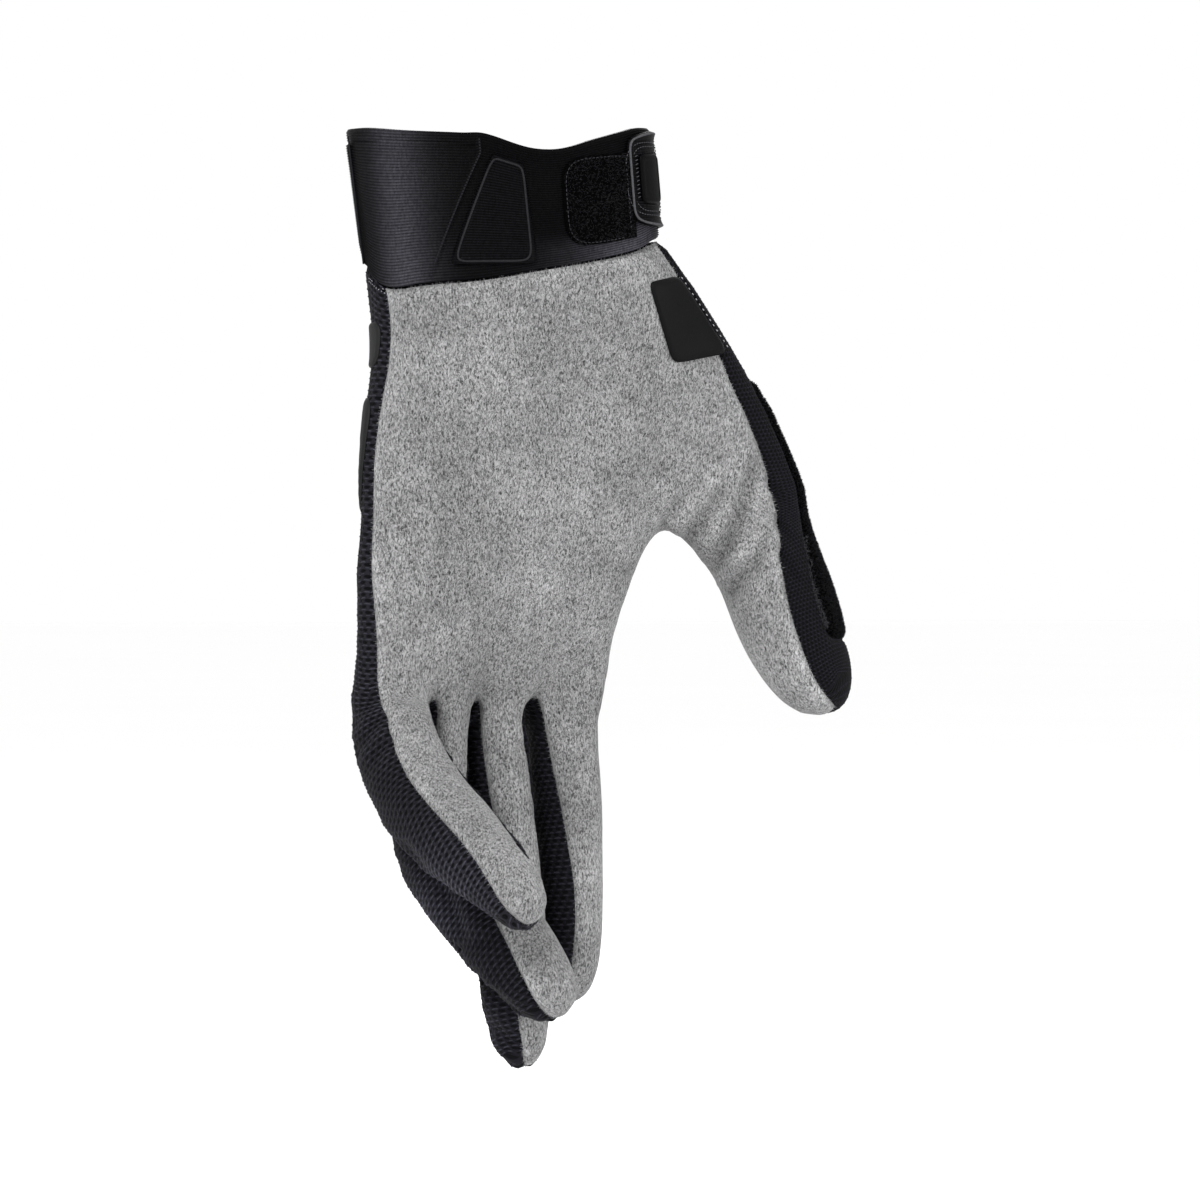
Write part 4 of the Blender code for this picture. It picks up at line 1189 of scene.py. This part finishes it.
def outlineShares(corner, scale, turns, count):
    # places along the rounded outline of a plate, scaled across and down, from one turn to another
    shares = []
    for k in range(count + 1):
        turn = math.radians(turns[0] + (turns[1] - turns[0]) * k / count)
        x, y = math.cos(turn), math.sin(turn)
        reach = 1 / roundedReach(x, y, corner)
        shares.append(((x * reach * scale[0] + 1) / 2, (1 - y * reach * scale[1]) / 2))
    return shares


def onCuff(corners, lift=0.0):
    # corners: (angle, drop) at the top left, top right, foot right and foot left
    topLeft, topRight, footRight, footLeft = (Vector(corner) for corner in corners)

    def pointAt(across, down):
        angle, drop = topLeft.lerp(topRight, across).lerp(footLeft.lerp(footRight, across), down)
        share = cuffShare(angle, drop)
        normal = cuffNormal(angle, share)
        return cuffPoint(angle, share) + normal * lift, normal
    return pointAt


pull = {
    "corners": ((251.5, 0.0051), (263.0, 0.0078), (264.8, 0.0330), (229, 0.0335)), "cells": (76, 180),
    "corner": 9, "lift": 0.0001, "wall": 0.0005, "height": 0.0252, "ribRise": 0.00011, "ribPitch": 0.0006,
    "ribsFrom": (0.0016, 0.0022), "welt": 0.0006, "weltAt": 0.0010, "weltWidth": 0.0005, "cord": 0.00028,
}


def makePullPanel():
    pointAt = onCuff(pull["corners"])
    breadth = (pointAt(1, 0.5)[0] - pointAt(0, 0.5)[0]).length

    def heightAt(x, y, reach):
        edge = min((1 - abs(x)) / 2 * breadth, (1 - abs(y)) / 2 * pull["height"])
        rib = pull["ribRise"] * math.cos(ribTurn(pull, y)) * easeStep(*pull["ribsFrom"], edge)
        return (pull["wall"] + rib + pull["welt"] * bell(edge - pull["weltAt"], pull["weltWidth"])
                - pull["wall"] * 0.8 * (1 - easeStep(0, 0.0004, edge)))

    plate("cuff_pull_panel_welted", "cuff_pull_panel", pull, pointAt, heightAt, plateLook, "ribbed_stretch")
    # a lighter cord along the welt's crest: a painted highlight on the raised border
    scale = [1 - 2 * pull["weltAt"] / size for size in (breadth, pull["height"])]
    onWelt = lifted(pointAt, outlineShares(pull["corner"], scale, (100, 460), 140),
                    pull["wall"] + pull["welt"] * 0.85)
    makeCord("cuff_pull_panel_welt_highlight", onWelt, pull["cord"], weltHighlightLook, "ribbed_stretch")


makePullPanel()


def onCuffPath(places, lift):
    # a path of (point, normal) over the cuff through the (angle, share) places
    path = []
    for angle, share in places:
        normal = cuffNormal(angle, share)
        path.append((cuffPoint(angle, share) + normal * lift, normal))
    return path


def makeFoldedEdges():
    # the overlap's edge, and the fold that the outer layer ends in down the little finger side;
    # the cords are lighter than the cloth: a painted highlight along the folds
    top, foot = cuff["lapTop"][0] * 0.3, cuff["lapFoot"][0]
    lap, side = [], []
    for k in range(61):
        drop = top + (foot - top) * k / 60
        angle = alongLine(cuff["lapTop"], cuff["lapFoot"], drop) - cuff["lapWeltAt"]
        lap.append((angle, cuffShare(angle, drop)))
        share = 0.05 + 0.93 * k / 60
        side.append((cuff["sideSeam"] + 3 - 2 * share, share))
    for name, places, lift in (
        ("cuff_overlap_edge", lap, cuff["lapRise"] + 0.0001),
        ("cuff_side_edge", side, cuff["sideSeamRise"] + 0.00005),
    ):
        makeCord(name, onCuffPath(places, lift), cuff["foldCord"], foldHighlightLook, "ribbed_stretch")


makeFoldedEdges()

patch = {
    "corners": ((274.0, 0.0062), (307.0, 0.0038), (307.0, 0.0252), (273.5, 0.0287)), "cells": (50, 60),
    "corner": 4.5, "squareRight": True, "lift": 0.0001, "wall": 0.0008, "fibres": 2200,
    "length": 0.0014, "width": 0.00009, "lean": 1.1,
    "stitch": (0.0011, 0.0009, 0.00012), "rightStitch": (0.0012, 0.0006, 0.00016),
}


def makeLoopPatch():
    pointAt = onCuff(patch["corners"])

    def heightAt(x, y, reach):
        rough = noise.noise(Vector((x * 9, y * 10, 3))) * 0.00022
        rough += noise.noise(Vector((x * 30, y * 34, 7))) * 0.00016
        return patch["wall"] + rough - 0.0004 * easeStep(0.9, 1, reach)

    plate("loop_patch_base", "loop_patch", patch, pointAt, heightAt, loopLook, "loop_pile")
    draw = random.Random(11)
    places = []
    for _ in range(patch["fibres"]):
        x, y = draw.uniform(-0.96, 0.86), draw.uniform(-0.97, 0.97)
        if abs(min(x, 0)) ** patch["corner"] + abs(y) ** patch["corner"] > 0.9:
            continue
        point, normal = pointAt((x + 1) / 2, (1 - y) / 2)
        places.append(bristle(draw, point + normal * patch["wall"] * 0.8, normal, patch))
    scatter("loop_patch_pile", spike, places, loopPileLook, "loop_pile")
    aroundLeft = outlineShares(patch["corner"], (0.94, 0.95), (60, 300), 120)
    downRight = [(0.87, 0.2 + 0.68 * k / 20) for k in range(21)]
    stitches = dotted(lifted(pointAt, aroundLeft, patch["wall"] * 1.05), *patch["stitch"])
    stitches += dotted(lifted(pointAt, downRight, patch["wall"] * 1.3), *patch["rightStitch"])
    scatter("loop_patch_stitches", grain, stitches, darkThread, "loop_pile")


makeLoopPatch()

strap = {
    "endAngle": 305, "rootAngle": 400, "top": -0.02, "height": 0.0228, "topRise": 0.0014,
    "risesTill": 332, "cells": (130, 130), "corner": 9, "lift": 0.0002, "wall": 0.0011,
    "ribRise": 0.00010, "ribPitch": 0.0007,
    "ribsFrom": (0.0014, 0.002), "piping": 0.0003, "pipingAt": 0.0008, "pipingWidth": 0.0005,
    "rowDepth": 0.00022, "rowsAt": (0.0028, 0.0044), "rowWidth": 0.0004,
}
strapTop = strap["wall"] * 0.75


def strapPoint(across, down):
    angle = strap["endAngle"] + (strap["rootAngle"] - strap["endAngle"]) * across
    drop = strap["top"] * cuff["height"] + strap["height"] * down
    drop -= strap["topRise"] * easeStep(strap["endAngle"], strap["risesTill"], angle) * (1 - down)
    share = cuffShare(angle, drop)
    return cuffPoint(angle, share), cuffNormal(angle, min(max(share, 0), 1))


def makeStrap():
    middles = [strapPoint(k / 20, 0.5)[0] for k in range(21)]
    length = sum((b - a).length for a, b in zip(middles, middles[1:]))

    def heightAt(x, y, reach):
        edge = min((x + 1) / 2 * length, (1 - abs(y)) / 2 * strap["height"])
        rib = strap["ribRise"] * math.cos(ribTurn(strap, y)) * easeStep(*strap["ribsFrom"], edge)
        welt = strap["piping"] * bell(edge - strap["pipingAt"], strap["pipingWidth"])
        rows = -strap["rowDepth"] * sum(bell(edge - at, strap["rowWidth"]) for at in strap["rowsAt"])
        return strapTop + rib + welt + rows - 0.0005 * easeStep(0.985, 1, reach)

    plate("closure_strap_tab", "closure_strap", strap, strapPoint, heightAt, plateLook, "ribbed_stretch")


makeStrap()

badge = {
    "corners": ((311.5, 0.0042), (331.0, 0.0036), (331.0, 0.0163), (311.5, 0.0166)), "cells": (24, 30),
    "corner": 8, "lift": 0.0002, "wall": 0.0008,
}


def makeBadge():
    pointAt = onCuff(badge["corners"], strap["lift"] + strapTop)

    def heightAt(x, y, reach):
        return badge["wall"] - 0.0006 * easeStep(0.9, 1, reach) - 0.00015 * (1 - easeStep(0.75, 0.8, reach))

    plate("strap_badge_rubber", "strap_badge", badge, pointAt, heightAt, badgeLook, "soft_rubber")


makeBadge()

# The arcs of stitches beside the badge are scaled from its outline; a stitch is pitch, length, width
trim = {"cord": 0.00030, "outline": (0.990, 0.955), "arcs": ((1.55, 1.30), (1.95, 1.46)), "arcCorner": 3.5,
        "arcTurns": ((20, 160), (200, 340)), "stitchLift": 0.0001, "stitch": (0.0010, 0.0008, 0.00013),
        "zigzagWidth": 0.00012}


def makeStrapTrim():
    height = strap["lift"] + strapTop
    edge = lifted(strapPoint, outlineShares(strap["corner"], trim["outline"], (0, 360), 180),
                  height + strap["piping"] * 0.6)
    makeCord("closure_strap_piping", edge, trim["cord"], strapPiping, "ribbed_stretch")
    besideBadge = onCuff(badge["corners"])
    stitches = []
    for scale in trim["arcs"]:
        for turns in trim["arcTurns"]:
            shares = outlineShares(trim["arcCorner"], scale, turns, 30)
            row = lifted(besideBadge, shares, height + trim["stitchLift"])
            stitches += dotted(row, *trim["stitch"])
    zigzag = [(-0.24 if k % 2 else -0.09, 0.04 + 0.92 * k / 22) for k in range(23)]
    row = lifted(besideBadge, zigzag, height + trim["stitchLift"])
    for (a, normal), (b, _) in zip(row, row[1:]):
        stitches += dotted([(a, normal), (b, normal)], 1, (b - a).length * 0.8, trim["zigzagWidth"])
    scatter("closure_strap_stitches", grain, stitches, seamThread, "ribbed_stretch")


makeStrapTrim()


def handHit(place, facing=toCamera, reach=hand["palmLength"]):
    # the hand's point and normal under the place, as seen from the side that it faces
    return skinTree.ray_cast(place + facing * reach, -facing)[:2]


def fromSide(place, length, facing):
    # an upright rectangle laid on the hand; the place is in shares of the palm's breadth, depth and
    # length, and the facing is level
    centre = Vector((place[0] * hand["palmBreadth"], -place[1] * hand["palmDepth"],
                     -cuff["height"] - place[2] * hand["palmLength"]))
    facing = facing.normalized()
    side = facing.cross(-up).normalized()

    def pointAt(across, down):
        at = centre + side * ((across - 0.5) * guard["breadth"]) - up * ((down - 0.5) * length)
        return handHit(at, facing, hand["palmBreadth"])
    return pointAt


def fromView(corners):
    # corners (across, up) in millimetres as the camera sees them, laid on the hand
    topLeft, topRight, footRight, footLeft = (Vector(corner) / 1000 for corner in corners)

    def pointAt(across, down):
        right, rise = topLeft.lerp(topRight, across).lerp(footLeft.lerp(footRight, across), down)
        return handHit(toRight * right + up * rise)
    return pointAt


label = {"corners": ((37.0, -36.6), (44.6, -34.5), (57.6, -53.8), (43.2, -57.0)), "cells": (26, 34),
         "corner": 9, "lift": 0.0002, "wall": 0.0009}
guard = {"upper": (-0.45, -0.41, 0.148), "upperLength": 0.0115, "lower": (-0.50, -0.38, 0.415),
         "lowerLength": 0.0290, "facing": (-0.94, 0.34, 0), "breadth": 0.0100, "cells": (16, 30),
         "corner": 3.5, "lift": 0.0001, "wall": 0.0006}


def softPlate(wall):
    def heightAt(x, y, reach):
        return wall - wall * 0.7 * easeStep(0.86, 1, reach) ** 2
    return heightAt


def makeHandPlates():
    plate("heel_label_rubber", "heel_label", label, fromView(label["corners"]), softPlate(label["wall"]),
          labelLook, "soft_rubber")
    for which in ("upper", "lower"):
        node = "side_guard_" + which
        pointAt = fromSide(guard[which], guard[which + "Length"], Vector(guard["facing"]))
        plate(node + "_rubber", node, guard, pointAt, softPlate(guard["wall"]), guardLook, "soft_rubber")


makeHandPlates()


def onView(points, lift):
    # points (across, up) in millimetres as the camera sees them, as a path on the hand
    path = []
    for (x0, y0), (x1, y1) in zip(points, points[1:]):
        for k in range(12):
            across, rise = x0 + (x1 - x0) * k / 12, y0 + (y1 - y0) * k / 12
            hit, normal = handHit((toRight * across + up * rise) / 1000)
            if hit:
                path.append((hit + normal * lift, normal))
    return path


labelRow = {"points": ((45.2, -35.2), (51.4, -44.0), (57.7, -53.2)), "lift": 0.0007,
            "stitch": (0.0017, 0.0007, 0.00019)}
cornerRows = {"points": ((-33.6, -34.8), (-31.6, -36.7), (-29.0, -38.4)), "falls": (0.2, 1.0, 1.8),
              "lift": 0.0002, "stitch": (0.0008, 0.0004, 0.00014), "wider": 0.0002}
lint = {"points": ((77.0, -101.0), (79.5, -113.5), (81.2, -120.5), (83.0, -125.0)), "lift": 0.0006,
        "perStep": 7, "length": 0.0012, "width": 0.00006, "lean": 1.4}


def makeSeamStitches():
    stitches = dotted(onView(labelRow["points"], labelRow["lift"]), *labelRow["stitch"])
    pitch, length, width = cornerRows["stitch"]
    for fall in cornerRows["falls"]:
        row = onView([(x, y - fall) for x, y in cornerRows["points"]], cornerRows["lift"])
        stitches += dotted(row, pitch + fall * cornerRows["wider"], length, width)
    scatter("seam_stitches", grain, stitches, paleThread, "palm_suede")


def makeLint():
    # loose fibres along the terry's border
    draw = random.Random(17)
    border = onView(lint["points"], lint["lift"])
    places = []
    for (a, normal), (b, _) in zip(border, border[1:]):
        for _ in range(lint["perStep"]):
            root = a.lerp(b, draw.random()) + toRight * draw.uniform(-0.0007, 0.0005)
            places.append(bristle(draw, root, normal, lint))
    scatter("thumb_terry_lint", spike, places, lintLook, "terry")


makeSeamStitches()
makeLint()
print("plates ready")


# Floor, lights and camera; each light is name, azimuth, elevation, distance, size and power

studio = {
    "floorSize": 60, "floorZ": -0.275, "floorColor": (0.99, 0.99, 0.99), "lightTarget": (0.02, 0, -0.11),
    "lights": (("key", -60, 34, 1.2, 0.45, 14), ("fill", 25, 8, 1.4, 0.9, 12), ("rim", 150, 40, 1.4, 0.7, 8)),
}


def makeFloor():
    bpy.ops.mesh.primitive_plane_add(size=studio["floorSize"], location=(0, 0, studio["floorZ"]))
    floor = bpy.context.object
    floor.name = "studio_floor"
    n = Nodes("studio_floor", studio["floorColor"], 0.9)
    n.colour(studio["floorColor"], n.spread(n.noise(1.5, 2), 0.3, 0.7, 0.997, 1.003))
    floor.data.materials.append(n.material)


def makeLight(name, azimuth, elevation, distance, size, power):
    turn, rise = math.radians(azimuth), math.radians(elevation)
    away = Vector((math.sin(turn) * math.cos(rise), -math.cos(turn) * math.cos(rise), math.sin(rise)))
    lamp = bpy.data.lights.new(name, "AREA")
    lamp.shape = "DISK"
    lamp.size = size
    lamp.energy = power
    holder = bpy.data.objects.new(name, lamp)
    holder.location = Vector(studio["lightTarget"]) + away * distance
    holder.rotation_euler = away.to_track_quat("Z", "Y").to_euler()
    scene.collection.objects.link(holder)


def makeCamera():
    camera = bpy.data.cameras.new("camera")
    camera.sensor_width = view["sensor"]
    camera.lens = view["sensor"] * view["distance"] / view["frameWidth"]
    camera.clip_end = view["clipEnd"]
    holder = bpy.data.objects.new("camera", camera)
    target = toRight * view["acrossTarget"] + up * view["upTarget"]
    holder.location = target + toCamera * view["distance"]
    holder.rotation_euler = toCamera.to_track_quat("Z", "Y").to_euler()
    scene.collection.objects.link(holder)
    scene.camera = holder


world = bpy.data.worlds.new("studio")
world.use_nodes = True
world.node_tree.nodes["Background"].inputs["Color"].default_value = (1, 1, 1, 1)
world.node_tree.nodes["Background"].inputs["Strength"].default_value = 1.0
scene.world = world
scene.view_settings.view_transform = "Standard"
makeFloor()
for light in studio["lights"]:
    makeLight(*light)
makeCamera()
print("studio ready")
